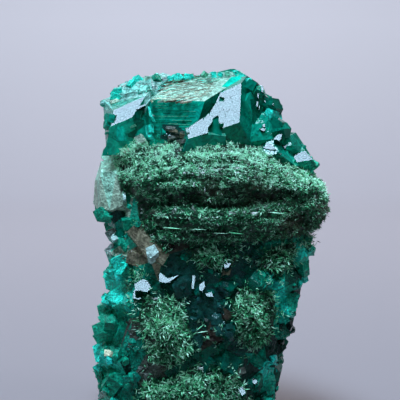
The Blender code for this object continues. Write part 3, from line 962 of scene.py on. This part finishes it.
body_tree = surface_of(crystals)
grains = []
for across, up, radius, finish in RIM_LUMPS:
    axis = direction(chance.uniform(-60.0, 60.0), chance.uniform(0.0, 60.0))
    grains.append(lump(on_the_rim(body_tree, across, up), axis, radius, finish))
for up, inward, radius, bearing, finish in LUMPS:
    place, _ = seen_from_the_front(body_tree, left_edge(body_tree, up) + inward, up)
    grains.append(lump(place, direction(bearing, chance.uniform(-10.0, 30.0)), radius, finish))
grow_on(crystals, grains)
body_tree = surface_of(crystals)
for outline, way, finish in FACETS:
    set_on(body_tree, outline, direction(*way), FACET_PROUD, BLOCK_DEPTH, 1.0, finish)
for across, up, width, height, turn, finish in BLOCKS:
    facing = direction(chance.uniform(-32.0, 32.0), chance.uniform(-15.0, 40.0))
    corners = block_corners(across, up, width, height, turn)
    set_on(body_tree, corners, facing, BLOCK_PROUD, BLOCK_DEPTH, BLOCK_SPREAD, finish)

# The clear faces that catch the light
# Here and there a crystal has a fresh face that mirrors the lamp above. Each is a flat splinter of
# dioptase on the wall, of the outline that the viewer sees.

LAMP_PLACE = Vector((-34.0, -146.0, 437.0)) * MM
SPLINTER_PROUD = 0.20
SPLINTER_LIFT = 0.90
SPLINTER_WANDER = 0.02
SPLINTER_SUNK = 1.6
SPLINTER_SPREAD = 0.9
# Outlines as across and up
SPLINTERS = (
    ((-13.4, 27.1), (-12.0, 28.0), (-11.1, 27.6), (-10.5, 26.4), (-11.2, 25.6), (-12.4, 25.9), (-13.3, 25.8)),
    ((-13.6, 25.9), (-12.2, 26.0), (-11.8, 25.4), (-12.5, 24.3), (-13.7, 24.5)),
    ((-9.0, 29.3), (-8.0, 28.4), (-7.3, 28.0), (-7.2, 27.4), (-8.0, 27.3), (-9.1, 27.5)),
    ((-7.5, 28.1), (-5.6, 28.7), (-7.3, 27.4)),
    ((-3.2, 28.6), (-2.7, 28.6), (-3.0, 26.0), (-3.3, 26.4)),
    ((-1.9, 27.0), (-1.1, 27.6), (-1.0, 26.6), (-1.5, 25.7), (-2.1, 26.2)),
    ((1.8, 31.8), (2.3, 31.9), (3.6, 30.8), (3.2, 30.1), (2.5, 29.9), (1.9, 31.1)),
    ((4.6, 9.4), (5.7, 8.4), (6.4, 7.2), (5.7, 6.6), (5.1, 7.6)),
    ((7.6, 10.2), (8.5, 9.2), (7.8, 8.7), (7.5, 9.2)),
    ((8.4, 6.6), (9.9, 7.6), (10.1, 7.3), (9.0, 6.3)),
    ((-0.9, 25.3), (0.2, 25.7), (0.5, 24.7), (-0.7, 24.9)),
    ((11.6, 53.5), (12.4, 53.6), (12.0, 52.4), (10.9, 52.7)),
    ((9.1, 51.2), (10.0, 52.0), (10.7, 51.7), (11.4, 50.9), (10.3, 50.9)),
    ((12.3, 51.7), (13.2, 51.8), (12.9, 51.1)),
    ((8.0, 60.5), (8.3, 60.6), (8.2, 59.8), (8.1, 59.8)),
    ((7.9, 59.2), (8.2, 59.2), (8.1, 58.3), (7.9, 58.4)),
    ((8.4, 58.8), (8.5, 58.2), (8.3, 57.7)),
    ((8.6, 62.0), (9.0, 61.9), (9.0, 60.8), (8.7, 61.0)),
    ((9.0, 55.3), (9.4, 55.4), (9.4, 54.8), (9.0, 54.8)),
    ((8.4, 54.5), (9.0, 54.6), (9.5, 54.5), (9.3, 54.1), (8.9, 54.2)),
    ((9.2, 59.3), (9.4, 59.4), (9.5, 58.9)),
    ((10.6, 58.9), (10.9, 58.8), (10.7, 58.5)),
    (
        (-1.1, 56.3),
        (-0.4, 57.1),
        (0.4, 56.4),
        (0.2, 55.6),
        (-0.5, 54.7),
        (-0.5, 53.8),
        (-1.4, 53.5),
        (-1.4, 55.8),
    ),
    ((-13.0, 58.2), (-11.2, 58.8), (-11.3, 58.5), (-12.8, 57.8)),
)
# Two more that are frosted, on the grey prism and the left side
PALE_SPLINTERS = (
    ((-11.4, 33.5), (-9.9, 34.2), (-9.1, 32.8), (-10.5, 31.7), (-11.2, 32.1)),
    ((-15.4, 43.6), (-14.9, 43.7), (-14.8, 42.2), (-15.3, 42.1)),
)
# Clouds in the crystal, and how they shade it
VEILS = {"Scale": 520.0, "Detail": 10.0, "Roughness": 0.72, "Distortion": 1.4}
VEIL_SHADE = {"From Min": 0.32, "From Max": 0.72, "To Min": 0.30, "To Max": 1.90}
# Tiny crystals where a face is more matt than this
DRUSE_MATNESS = {"From Min": 0.06, "From Max": 0.14}
CELLS = {"Scale": 3400.0}
CELL_SHADE = {"To Min": 0.55, "To Max": 1.45}
FACET_DEPTH = 0.10 * MM
# How clear, rough and pitted a face is, from its matness
CLEARNESS = {"To Min": 0.55, "To Max": 0.08}
ROUGHNESS = {1: 0.50, 2: 0.035}
PITTING = {"From Min": 0.06}
PIT_DEPTH = 0.07 * MM
GRAIN = {"Scale": 3200.0, "Detail": 4.0}
DIOPTASE_IOR = 1.66
SOFTENED_GLOSS = (0.155, 0.172, 0.184, 1.0)
INNER_GREEN = {"Color": (0.02, 0.88, 0.76, 1.0), "Density": 330.0}

body_tree = surface_of(crystals)
for outline in SPLINTERS + PALE_SPLINTERS:
    middle, _ = seen_from_the_front(body_tree, *middle_of(outline))
    facing = (EYE - middle).normalized() + (LAMP_PLACE - middle).normalized()
    facing += Vector([chance.gauss(0.0, SPLINTER_WANDER) for _ in range(3)])
    facing.normalize()
    corners = [seen_from_the_front(body_tree, *corner)[0] for corner in outline]
    highest = max([0.0] + [facing.dot(corner - middle) / MM for corner in corners if corner])
    proud = min(highest, SPLINTER_LIFT) + SPLINTER_PROUD
    finish = "white frost" if outline in PALE_SPLINTERS else "mirror"
    set_on(body_tree, outline, facing, proud, SPLINTER_SUNK + proud, SPLINTER_SPREAD, finish)


def new_material(name):
    """A material, its nodes and its shader."""
    made = bpy.data.materials.new(name)
    made.use_nodes = True
    return made, made.node_tree, made.node_tree.nodes["Principled BSDF"]


def feed(tree, to, inputs):
    """Gives each input of a node a value, or another node's output."""
    for socket, given in inputs.items():
        if isinstance(given, bpy.types.NodeSocket):
            tree.links.new(given, to.inputs[socket])
        else:
            to.inputs[socket].default_value = given


def node(tree, kind, inputs, output, **settings):
    """The output of a new node of a kind."""
    made = tree.nodes.new("ShaderNode" + kind)
    for name, value in settings.items():
        setattr(made, name, value)
    feed(tree, made, inputs)
    return made.outputs[output]


def dioptase_material():
    """Clear emerald that drinks red light, clouded by veils, and frosted where a face is matt."""
    made, tree, shader = new_material("dioptase")
    place = node(tree, "TexCoord", {}, "Object")
    colour = node(tree, "Attribute", {}, "Color", attribute_name="colour")
    matness = node(tree, "Attribute", {}, "Fac", attribute_name="matness")
    veils = node(tree, "TexNoise", {"Vector": place, **VEILS}, "Fac")
    shade = node(tree, "MapRange", {"Value": veils, **VEIL_SHADE}, "Result")
    druse_share = node(tree, "MapRange", {"Value": matness, **DRUSE_MATNESS}, "Result")
    cells = tree.nodes.new("ShaderNodeTexVoronoi")
    feed(tree, cells, {"Vector": place, **CELLS})
    cell = node(tree, "SeparateColor", {"Color": cells.outputs["Color"]}, "Red")
    cell_shade = node(tree, "MapRange", {"Value": cell, **CELL_SHADE}, "Result")
    broken = node(tree, "Mix", {"Factor": druse_share, "A": 1.0, "B": cell_shade}, "Result")
    strength = node(tree, "Math", {0: shade, 1: broken}, "Value", operation="MULTIPLY")
    tinted = node(tree, "VectorMath", {0: colour, "Scale": strength}, "Vector", operation="SCALE")
    clearness = node(tree, "MapRange", {"Value": matness, **CLEARNESS}, "Result")
    roughness = node(tree, "Math", {0: matness, **ROUGHNESS}, "Value", operation="MULTIPLY_ADD")
    grain = node(tree, "TexNoise", {"Vector": place, **GRAIN}, "Fac")
    pitting = node(tree, "MapRange", {"Value": matness, **PITTING}, "Result")
    pitted = node(tree, "Bump", {"Strength": pitting, "Distance": PIT_DEPTH, "Height": grain}, "Normal")
    edges = cells.outputs["Distance"]
    facets = {"Strength": druse_share, "Distance": FACET_DEPTH, "Height": edges, "Normal": pitted}
    surface = {
        "Base Color": tinted,
        "Transmission Weight": clearness,
        "Roughness": roughness,
        "Normal": node(tree, "Bump", facets, "Normal"),
        "IOR": DIOPTASE_IOR,
        "Specular Tint": SOFTENED_GLOSS,
    }
    feed(tree, shader, surface)
    inner = node(tree, "VolumeAbsorption", INNER_GREEN, "Volume")
    feed(tree, tree.nodes["Material Output"], {"Volume": inner})
    return made


crystals.data.materials.clear()
crystals.data.materials.append(dioptase_material())
crystals.data.polygons.foreach_set("material_index", [0] * len(crystals.data.polygons))
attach(crystals, "root")
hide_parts("dioptase_crystals")

# The malachite ledge
# Malachite here is a felt of silky green needles about a millimetre long. The ledge is a thick mat of
# it in layers with deep slots between them: a lumpy bed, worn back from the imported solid, and needles
# that fill it out again.

BED_EDGE = 0.50
BED_SINK = 0.30
BED_SPARE = 0.35
LAYER_HEIGHT = 0.95
LAYER_DEPTH = 0.45
LAYER_FREQUENCY = 0.10
LUMP_DEPTH = 0.25
LUMP_FREQUENCY = 0.55
PIT_DEEP = 1.3
PIT_FREQUENCY = 1.15
PIT_EDGE = 0.12
PIT_SHIFT = Vector((9.0, 0.0, 0.0))
AGAINST_CRYSTAL = 0.6
OPEN_REACH = 0.4
# A slot wanders by this much and fades out over this length at its ends
SLOT_WANDER = 0.35
SLOT_END = 2.0
NEEDLE_LENGTH = (0.35, 0.90)
NEEDLE_WIDTH = (0.10, 0.20)
CLUMP = 0.70
CLUMP_EDGE = -0.16
LEDGE_NEEDLES = 24000
OUTER_NEEDLES = 6500
FINE_NEEDLES = 32500
SPRAY_SIZE = 8
# How much paler sprays that face up are: painted light
UPPER_PAINTED_LIGHT = 0.55
ROOT_SUNK = 0.12
LOWEST_RISE = 0.08
# A needle is widest at this share of its length
WIDEST_AT = 0.45
PATCH_LENGTH = 2.2
PATCH_HEIGHT = 0.7
DEEP_SLOT = 1.2
# Tone of the felt: its start, what a patch, a slot, a spray and a needle change; the slot's darkening is
# painted shade
TONE = 0.22
PATCH_TONE = 0.50
SLOT_PAINTED_SHADE = 0.45
SPRAY_TONE = 0.20
NEEDLE_TONE = 0.36
# Painted light and shade on the felt by height: paler towards the ledge's top, darker low on the ledge
PAINTED_LIGHT_BY_HEIGHT = (
    (0.0, 0.08),
    (30.0, 0.04),
    (34.0, 0.0),
    (37.0, -0.30),
    (40.5, -0.28),
    (44.0, 0.10),
    (47.0, 0.36),
    (51.0, 1.00),
)
# The felt's colours, from the darkest tone to the palest
FELT_COLOURS = (
    (0.22, (0.001, 0.022, 0.010)),
    (0.52, (0.020, 0.250, 0.100)),
    (0.78, (0.170, 0.800, 0.390)),
    (1.00, (0.540, 1.000, 0.740)),
)
FELT_RUST = (0.110, 0.085, 0.055)
RUST_SHARE = 0.50
FLECKS = {"Scale": 1500.0, "Detail": 3.0}
FLECK_SHARE = 0.5
SILK = 0.30
# Slots as a line of across and up, then depth and half width
SLOTS = (
    (((-13.2, 44.6), (-3.6, 45.9), (2.5, 45.2), (8.6, 43.8), (12.7, 43.5), (16.0, 43.0)), 1.9, 0.50),
    (((-2.5, 44.0), (6.0, 43.0), (13.5, 42.2)), 0.9, 0.90),
    (((-14.1, 41.2), (-4.8, 41.4), (0.8, 41.2), (8.6, 41.4)), 1.0, 0.40),
    (((-12.4, 38.2), (-1.9, 38.3), (9.9, 38.9), (18.3, 38.2)), 0.9, 0.30),
    (((-11.0, 36.4), (-1.9, 36.4), (6.0, 35.8)), 0.8, 0.25),
    (((-12.0, 47.4), (-4.0, 48.6), (4.0, 48.8), (12.0, 46.4)), 0.6, 0.30),
)
# Hollows as across, up, reach and depth
HOLLOWS = (
    (-15.0, 48.9, 1.3, 1.4),
    (-14.7, 43.2, 1.2, 1.6),
    (-14.6, 40.6, 1.3, 1.6),
    (-3.0, 42.4, 1.7, 1.4),
    (-8.5, 46.6, 0.6, 0.8),
    (14.5, 49.0, 0.7, 0.7),
    (15.8, 38.2, 1.6, 1.1),
)
RUSTY = (
    (19.6, 40.4, 1.8),
    (8.0, 43.4, 3.4),
    (14.0, 37.8, 2.6),
    (0.0, 44.0, 2.6),
)


def slot_depth(point):
    """How deep the slots and hollows are at a place, in millimetres."""
    across, up = seen_at(point)
    depth = 0.0
    for line, deepest, half_width in SLOTS:
        for (x0, z0), (x1, z1) in zip(line, line[1:]):
            if x0 <= across < x1:
                middle = z0 + (z1 - z0) * (across - x0) / (x1 - x0)
                middle += SLOT_WANDER * noise.noise(Vector((across * 0.6, middle, 0.0)))
                end = min(1.0, (across - line[0][0]) / SLOT_END, (line[-1][0] - across) / SLOT_END)
                depth = max(depth, deepest * max(0.0, end) * math.exp(-(((up - middle) / half_width) ** 2)))
    for x, z, reach, deepest in HOLLOWS:
        depth = max(depth, deepest * math.exp(-((math.hypot(across - x, up - z) / reach) ** 2)))
    return depth


def rust_at(point):
    across, up = seen_at(point)
    return max(math.exp(-((math.hypot(across - x, up - z) / reach) ** 2)) for x, z, reach in RUSTY)


def bed_of(node, name, slotted):
    """The bed of a mat: its solid, cut fine and worn into layers and pits wherever it is open to the air."""
    bed = welded_copy(node, name)
    bm = bmesh.new()
    bm.from_mesh(bed.data)
    for _ in range(6):
        long_edges = [edge for edge in bm.edges if edge.calc_length() > BED_EDGE * MM]
        if not long_edges:
            break
        bmesh.ops.subdivide_edges(bm, edges=long_edges, cuts=1)
        bmesh.ops.triangulate(bm, faces=bm.faces)
    bm.normal_update()
    moves = {}
    for vertex in bm.verts:
        if bare_tree.find_nearest(vertex.co, AGAINST_CRYSTAL * MM)[0] is not None:
            continue
        at = vertex.co / MM
        layer = noise.noise(Vector((at.x * LAYER_FREQUENCY, at.y * LAYER_FREQUENCY, at.z / LAYER_HEIGHT)))
        lumpiness = noise.noise(at * LUMP_FREQUENCY)
        pit = max(0.0, noise.noise(at * PIT_FREQUENCY + PIT_SHIFT) - PIT_EDGE)
        depth = BED_SINK + LAYER_DEPTH * abs(layer) ** 0.7 + LUMP_DEPTH * lumpiness + PIT_DEEP * pit
        if slotted and vertex.normal.y < 0.5:
            depth += slot_depth(vertex.co)
        room = bare_tree.ray_cast(vertex.co, -vertex.normal, 4.0 * MM)[3]
        if room is not None:
            depth = min(depth, room / MM - BED_SPARE)
        moves[vertex] = vertex.normal * -max(0.1, depth) * MM
    for vertex, move in moves.items():
        vertex.co += move
    bm.to_mesh(bed.data)
    bm.free()
    return bed


def open_places(mesh, count, numbers):
    """Places on a bed that are open to the air, not against the crystals."""
    spots, normals = places_on(mesh, count * 4, numbers)
    kept = []
    for number in range(len(spots)):
        spot = Vector(spots[number])
        clump = noise.noise(Vector((spot.x, spot.y, 1.6 * spot.z)) / (CLUMP * MM))
        if clump > CLUMP_EDGE and bare_tree.find_nearest(spot, OPEN_REACH * MM)[0] is None:
            kept.append(number)
    kept = kept[:count]
    return spots[kept], normals[kept]


def needles(roots, ways, lengths, widths, tones, rust, name):
    """Needles as one mesh. Each is a three-sided spindle that ends in a point."""
    count = len(roots)
    up = np.where(np.abs(ways[:, 2:3]) < 0.9, [[0.0, 0.0, 1.0]], [[1.0, 0.0, 0.0]])
    first = np.cross(ways, up)
    first /= np.linalg.norm(first, axis=1)[:, None]
    second = np.cross(ways, first)
    middle = roots + ways * (lengths * WIDEST_AT)[:, None]
    points = np.zeros((count, 5, 3))
    points[:, 0] = roots
    for side in range(3):
        turn = math.tau * side / 3.0
        aside = first * math.cos(turn) + second * math.sin(turn)
        points[:, 1 + side] = middle + aside * (widths / 2.0)[:, None]
    points[:, 4] = roots + ways * lengths[:, None]
    spindle = np.array([[0, 2, 1], [0, 3, 2], [0, 1, 3], [4, 1, 2], [4, 2, 3], [4, 3, 1]])
    faces = (spindle[None] + 5 * np.arange(count)[:, None, None]).reshape(-1, 3)
    mesh = bpy.data.meshes.new(name)
    mesh.from_pydata(points.reshape(-1, 3).tolist(), [], faces.tolist())
    for attribute, values in (("tone", tones), ("rust", rust)):
        mesh.attributes.new(attribute, "FLOAT", "FACE").data.foreach_set("value", np.repeat(values, 6))
    return mesh


def unit(vectors):
    return vectors / (np.linalg.norm(vectors, axis=1)[:, None] + 1e-12)


def sprays(centres, normals, build, numbers, name):
    """Sprays of needles: a spray's needles start close together, share a heading and a tone, and spread."""
    rise, level, spread, length_range, width_range, scatter = build
    count = len(centres)
    headings = numbers.normal(size=(count, 3))
    headings[:, 2] *= level
    headings = unit(headings - normals * (headings * normals).sum(axis=1)[:, None])
    lift = numbers.uniform(rise[0], rise[1], size=(count, 1))
    mains = headings * np.sqrt(1.0 - lift**2) + normals * lift
    roots = np.repeat(centres, SPRAY_SIZE, axis=0)
    out = np.repeat(normals, SPRAY_SIZE, axis=0)
    ways = np.repeat(mains, SPRAY_SIZE, axis=0) + numbers.normal(scale=spread, size=roots.shape)
    ways += out * np.maximum(0.0, LOWEST_RISE - (ways * out).sum(axis=1))[:, None]
    ways = unit(ways)
    roots = roots + numbers.normal(scale=scatter * MM, size=roots.shape) - out * ROOT_SUNK * MM
    lengths = numbers.uniform(*length_range, len(roots)) * MM
    widths = numbers.uniform(*width_range, len(roots)) * MM
    stretch = np.array([PATCH_LENGTH, PATCH_LENGTH, PATCH_HEIGHT])
    patch = np.array([noise.noise(Vector(centre / stretch) / MM) for centre in centres])
    slot = np.array([min(1.0, slot_depth(Vector(centre)) / DEEP_SLOT) for centre in centres])
    # Painted shade darkens sprays in the slots and hollows; painted light makes sprays that face up, and
    # those high on the ledge, paler
    tones = TONE + PATCH_TONE * patch - SLOT_PAINTED_SHADE * slot + numbers.normal(scale=SPRAY_TONE, size=count)
    tones += UPPER_PAINTED_LIGHT * np.maximum(0.0, normals[:, 2])
    tones += np.interp([seen_at(Vector(centre))[1] for centre in centres], *zip(*PAINTED_LIGHT_BY_HEIGHT))
    tones = np.repeat(tones, SPRAY_SIZE) + numbers.normal(scale=NEEDLE_TONE, size=len(roots))
    tones = np.clip(tones, 0.0, 1.0)
    rust = np.repeat([rust_at(Vector(centre)) for centre in centres], SPRAY_SIZE)
    return needles(roots, ways, lengths, widths, tones, rust, name)


def ramp(tree, share, stops):
    """The colour at a share of the way along a row of colours."""
    made = tree.nodes.new("ShaderNodeValToRGB")
    feed(tree, made, {"Fac": share})
    elements = made.color_ramp.elements
    for element, (place, colour) in zip(elements, (stops[0], stops[-1])):
        element.position = place
        element.color = (*colour, 1.0)
    for place, colour in stops[1:-1]:
        elements.new(place).color = (*colour, 1.0)
    return made.outputs["Color"]


def malachite_material():
    """Silky green that runs from nearly black, painted shade in the hollows and on the bed, to pale on the
    needles, with painted light on those that face up and high on the ledge.
    """
    made, tree, shader = new_material("malachite")
    tone = node(tree, "Attribute", {}, "Fac", attribute_name="tone")
    rust = node(tree, "Attribute", {}, "Fac", attribute_name="rust")
    place = node(tree, "TexCoord", {}, "Object")
    fleck = node(tree, "TexNoise", {"Vector": place, **FLECKS}, "Fac")
    shifted = node(tree, "Math", {0: fleck, 1: FLECK_SHARE, 2: tone}, "Value", operation="MULTIPLY_ADD")
    share = node(tree, "Math", {0: rust, 1: RUST_SHARE}, "Value", operation="MULTIPLY")
    stained = {0: share, 6: ramp(tree, shifted, FELT_COLOURS), 7: (*FELT_RUST, 1.0)}
    feed(tree, shader, {"Base Color": node(tree, "Mix", stained, 2, data_type="RGBA"), "Roughness": SILK})
    return made


def felted(node, count, build, seed, slotted):
    """A mat on its bed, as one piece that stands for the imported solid."""
    numbers = np.random.default_rng(seed)
    bed = bed_of(node, node + "_bed", slotted)
    faces = len(bed.data.polygons)
    # The bed takes tone 0, the dark end of the felt's colours: painted shade under the needles
    for attribute in ("tone", "rust"):
        bed.data.attributes.new(attribute, "FLOAT", "FACE").data.foreach_set("value", np.zeros(faces))
    centres, normals = open_places(bed.data, count // SPRAY_SIZE, numbers)
    mesh = sprays(centres, normals, build, numbers, node + "_needles")
    mat = joined([bed, object_of(mesh, "needles")], node + "_felt")
    mat.data.materials.append(malachite)
    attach(mat, "root")
    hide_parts(node)


def loose_piece(parts, name):
    """Needles that stand for no solid, as a piece of their own."""
    piece = joined(parts, name)
    piece.data.materials.append(malachite)
    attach(piece, "root")


malachite = malachite_material()
# Rise off the bed, levelness, spread, length, width, scatter
LEDGE_BUILD = ((0.0, 0.5), 0.30, 0.40, NEEDLE_LENGTH, NEEDLE_WIDTH, 0.16)
FINE_BUILD = ((0.1, 0.8), 0.5, 0.45, (0.28, 0.65), (0.07, 0.12), 0.16)
ledge_bed = bed_of("malachite_ledge", "ledge_bed", True)
numbers = np.random.default_rng(23)
fine_places = open_places(ledge_bed.data, FINE_NEEDLES // SPRAY_SIZE, numbers)
fine_felt = object_of(sprays(*fine_places, FINE_BUILD, numbers, "fine_needles"), "needles")
loose_piece([fine_felt], "malachite_ledge_fine_felt")
outer_places = open_places(ledge_bed.data, OUTER_NEEDLES // SPRAY_SIZE, numbers)
outer_felt = object_of(sprays(*outer_places, LEDGE_BUILD, numbers, "outer_needles"), "needles")
loose_piece([outer_felt], "malachite_ledge_outer_felt")
bpy.data.objects.remove(ledge_bed, do_unlink=True)
felted("malachite_ledge", LEDGE_NEEDLES, LEDGE_BUILD, 21, True)

# The malachite tufts
# Smaller mats of the same felt sit on the walls below the ledge and at the back, with coarser blades
# that stand out in sprays, and loose sprays lie on the crystals round them and up the left end of the
# ledge.

TUFT_BUILD = ((0.35, 0.95), 1.0, 0.38, (0.55, 1.35), (0.13, 0.27), 0.22)
TUFT_BLADES_PER_MM2 = 34.0
LOOSE_BUILD = ((0.10, 0.80), 0.8, 0.45, (0.40, 1.10), (0.11, 0.22), 0.30)
LOOSE_REACH = (0.25, 1.6)
LOOSE_SPRAYS = 330
CLEAR_ROUND_SPLINTERS = 1.6
PLACES_TRIED = 60000
LOOSE_BELOW = 40.0
BLADE_WIDTH = (0.15, 0.26)
BLADE_TONE = (0.5, 0.85)
BLADE_PROUD = 0.3
# Where loose felt lies thick: lowest and highest across and up, and the number of sprays
THICK_LOOSE = (
    (-16.4, -13.0, 47.6, 51.4, 120),
    (-13.6, -8.0, 49.6, 52.0, 60),
    (-4.0, 8.0, 30.0, 36.0, 50),
    (12.0, 18.0, 33.0, 38.0, 60),
    (-14.5, -11.0, 22.0, 30.0, 40),
    (-4.0, 2.0, 12.0, 20.0, 20),
)
# Long blades: both ends as across and up
LONG_BLADES = (
    ((-10.0, 30.9), (-7.4, 31.9)),
    ((-9.6, 30.9), (-7.6, 30.2)),
    ((-5.4, 13.4), (-3.1, 15.3)),
    ((-2.6, 18.2), (-0.3, 18.6)),
    ((-2.4, 20.0), (-1.9, 20.8)),
    ((-2.6, 18.6), (-1.0, 19.9)),
    ((-3.4, 17.6), (-2.2, 18.6)),
    ((-4.6, 16.2), (-3.4, 17.8)),
    ((-8.5, 37.2), (-4.8, 36.9)),
    ((-3.6, 36.9), (-0.6, 36.8)),
    ((0.2, 36.2), (3.2, 36.1)),
    ((3.0, 36.3), (6.0, 36.0)),
    ((10.0, 39.9), (13.0, 39.6)),
)

TUFT_NAMES = sorted(name for name in MAT_NODES if "tuft" in name)
for seed, name in enumerate(TUFT_NAMES):
    low, high = (Vector(corner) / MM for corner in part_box(name))
    spread = max(high.x - low.x, high.y - low.y) * (high.z - low.z)
    felted(name, int(spread * TUFT_BLADES_PER_MM2), TUFT_BUILD, 40 + seed, False)


def loose_places(numbers):
    """Places on the crystals a little way from a mat, and thick in the regions of THICK_LOOSE."""
    spots, normals = places_on(crystals.data, PLACES_TRIED, numbers)
    near = []
    thick = [[] for _ in THICK_LOOSE]
    splinter_middles = [middle_of(outline) for outline in SPLINTERS + PALE_SPLINTERS]
    for number in range(len(spots)):
        spot = Vector(spots[number])
        if normals[number][1] > 0.3 or own_face(spot, Vector(normals[number])):
            continue
        across, up = seen_at(spot)
        if any(math.dist(middle, (across, up)) < CLEAR_ROUND_SPLINTERS for middle in splinter_middles):
            continue
        for (left, right, low, high, count), found in zip(THICK_LOOSE, thick):
            if left < across < right and low < up < high and len(found) < count and spot.y < 0.0:
                found.append(number)
        within = covered(spot, LOOSE_REACH[1] * MM) and not covered(spot, LOOSE_REACH[0] * MM)
        if len(near) < LOOSE_SPRAYS and up < LOOSE_BELOW and within:
            near.append(number)
    chosen = near + [number for found in thick for number in found]
    return spots[chosen], normals[chosen]


def nearest_seen(trees, across, up):
    """The nearest place that the viewer meets on any of several meshes."""
    places = [seen_from_the_front(tree, across, up)[0] for tree in trees]
    return min((place for place in places if place), key=lambda place: (place - EYE).length)


def long_blades(trees, numbers):
    """Single long blades that lie on the crystals or the felt from one seen place to another."""
    ends = [[nearest_seen(trees, *place) for place in blade] for blade in LONG_BLADES]
    toward = (EYE - EYE_TARGET).normalized() * BLADE_PROUD * MM
    roots = np.array([start + toward for start, _ in ends])
    ways = np.array([end - start for start, end in ends])
    lengths = np.linalg.norm(ways, axis=1)
    widths = numbers.uniform(*BLADE_WIDTH, len(ends)) * MM
    tones = numbers.uniform(*BLADE_TONE, len(ends))
    return needles(roots, unit(ways), lengths, widths, tones, np.zeros(len(ends)), "long_blades")


numbers = np.random.default_rng(77)
body_tree = surface_of(crystals)
loose_mesh = sprays(*loose_places(numbers), LOOSE_BUILD, numbers, "loose_sprays")
parts = [object_of(loose_mesh, "sprays"), object_of(long_blades([body_tree, *mat_trees], numbers), "blades")]
loose_piece(parts, "malachite_loose_needles")

# The table and the backdrop
# The specimen stands on a plain pale sweep of painted board: a floor that curves up into a wall behind it.

FLOOR_HALF_WIDTH = 330.0
FLOOR_FRONT = -260.0
WALL_AT = 420.0
WALL_TOP = 900.0
SWEEP_RADIUS = 160.0
SWEEP_STEPS = 16
# Its colours at the front of the floor, where the wall begins and up the wall: painted light, darker at the
# front and lighter up the wall
BOARD_PAINTED_LIGHT = ((0.0, (0.271, 0.234, 0.257)), (0.5, (0.317, 0.300, 0.341)), (1.0, (0.395, 0.380, 0.425)))
PALER_BACK = 300.0 * MM
PALER_UP = 80.0 * MM


def sweep_profile():
    """Depth and height along the board, from the front of the floor to the top of the wall."""
    points = [(FLOOR_FRONT, 0.0)]
    for step in range(SWEEP_STEPS + 1):
        turn = math.pi / 2.0 * step / SWEEP_STEPS
        depth = WALL_AT - SWEEP_RADIUS + SWEEP_RADIUS * math.sin(turn)
        points.append((depth, SWEEP_RADIUS - SWEEP_RADIUS * math.cos(turn)))
    points.append((WALL_AT, WALL_TOP))
    return points


def board_material():
    """Matt paint, with painted light: darker towards the front of the floor and lighter up the wall."""
    made, tree, shader = new_material("painted_board")
    split = tree.nodes.new("ShaderNodeSeparateXYZ")
    feed(tree, split, {"Vector": node(tree, "TexCoord", {}, "Object")})
    back = {"Value": split.outputs["Y"], "From Max": PALER_BACK, "To Max": 0.5}
    height = {"Value": split.outputs["Z"], "From Max": PALER_UP, "To Max": 0.5}
    shares = {0: node(tree, "MapRange", back, "Result"), 1: node(tree, "MapRange", height, "Result")}
    colour = ramp(tree, node(tree, "Math", shares, "Value"), BOARD_PAINTED_LIGHT)
    feed(tree, shader, {"Base Color": colour, "Roughness": 0.9})
    return made


bm = bmesh.new()
rows = []
for depth, height in sweep_profile():
    rows.append([bm.verts.new((side * FLOOR_HALF_WIDTH * MM, depth * MM, height * MM)) for side in (-1, 1)])
for near, far in zip(rows, rows[1:]):
    bm.faces.new((near[0], near[1], far[1], far[0]))
backdrop = object_of(mesh_of(bm, "backdrop"), "backdrop")
backdrop.data.shade_smooth()
backdrop.data.materials.append(board_material())

# The light and the camera
# A large soft lamp above and a little to the left makes the mirror faces shine, two weaker ones fill
# from the sides, one lights the wall, and the room gives little. The camera looks a little down, as the
# photograph does.

AIM = (0.0, 0.0, 42.0)
FILL_DISTANCE = 460.0
COOL = (0.80, 0.95, 1.0)
ROOM_COLOUR = (0.72, 0.86, 1.0, 1.0)
ROOM_LIGHT = 0.09
LENS = 100.0
SENSOR = 36.0
NEAREST_SEEN = 10.0 * MM
# Name, place, aim, width, height, radiance, colour
LAMPS = (
    ("key", LAMP_PLACE / MM, AIM, 120, 120, 56.0, (0.60, 0.82, 1.0)),
    ("left_fill", direction(-80, 22) * FILL_DISTANCE + Vector(AIM), AIM, 120, 300, 3.0, COOL),
    ("right_fill", direction(64, 44) * FILL_DISTANCE + Vector(AIM), AIM, 90, 260, 3.6, COOL),
    ("wall_light", Vector((0.0, 190.0, 360.0)), (0.0, 400.0, 40.0), 500, 120, 9.0, (1.0, 1.0, 1.0)),
)

for name, place, aim, width, height, radiance, colour in LAMPS:
    light = bpy.data.lights.new(name, "AREA")
    light.shape = "RECTANGLE"
    light.size = width * MM
    light.size_y = height * MM
    light.energy = radiance * math.pi * light.size * light.size_y
    light.color = colour
    lamp = bpy.data.objects.new(name, light)
    bpy.context.scene.collection.objects.link(lamp)
    lamp.location = place * MM
    lamp.rotation_mode = "QUATERNION"
    lamp.rotation_quaternion = (Vector(aim) * MM - lamp.location).to_track_quat("-Z", "Y")

world = bpy.data.worlds.new("room")
bpy.context.scene.world = world
world.use_nodes = True
room = world.node_tree.nodes["Background"]
room.inputs["Color"].default_value = ROOM_COLOUR
room.inputs["Strength"].default_value = ROOM_LIGHT
bpy.context.scene.view_settings.view_transform = "Standard"

camera_data = bpy.data.cameras.new("camera")
camera_data.lens = LENS
camera_data.sensor_width = SENSOR
camera_data.clip_start = NEAREST_SEEN
camera = bpy.data.objects.new("camera", camera_data)
bpy.context.scene.collection.objects.link(camera)
camera.location = EYE
camera.rotation_mode = "QUATERNION"
camera.rotation_quaternion = (EYE_TARGET - EYE).to_track_quat("-Z", "Y")
bpy.context.scene.camera = camera
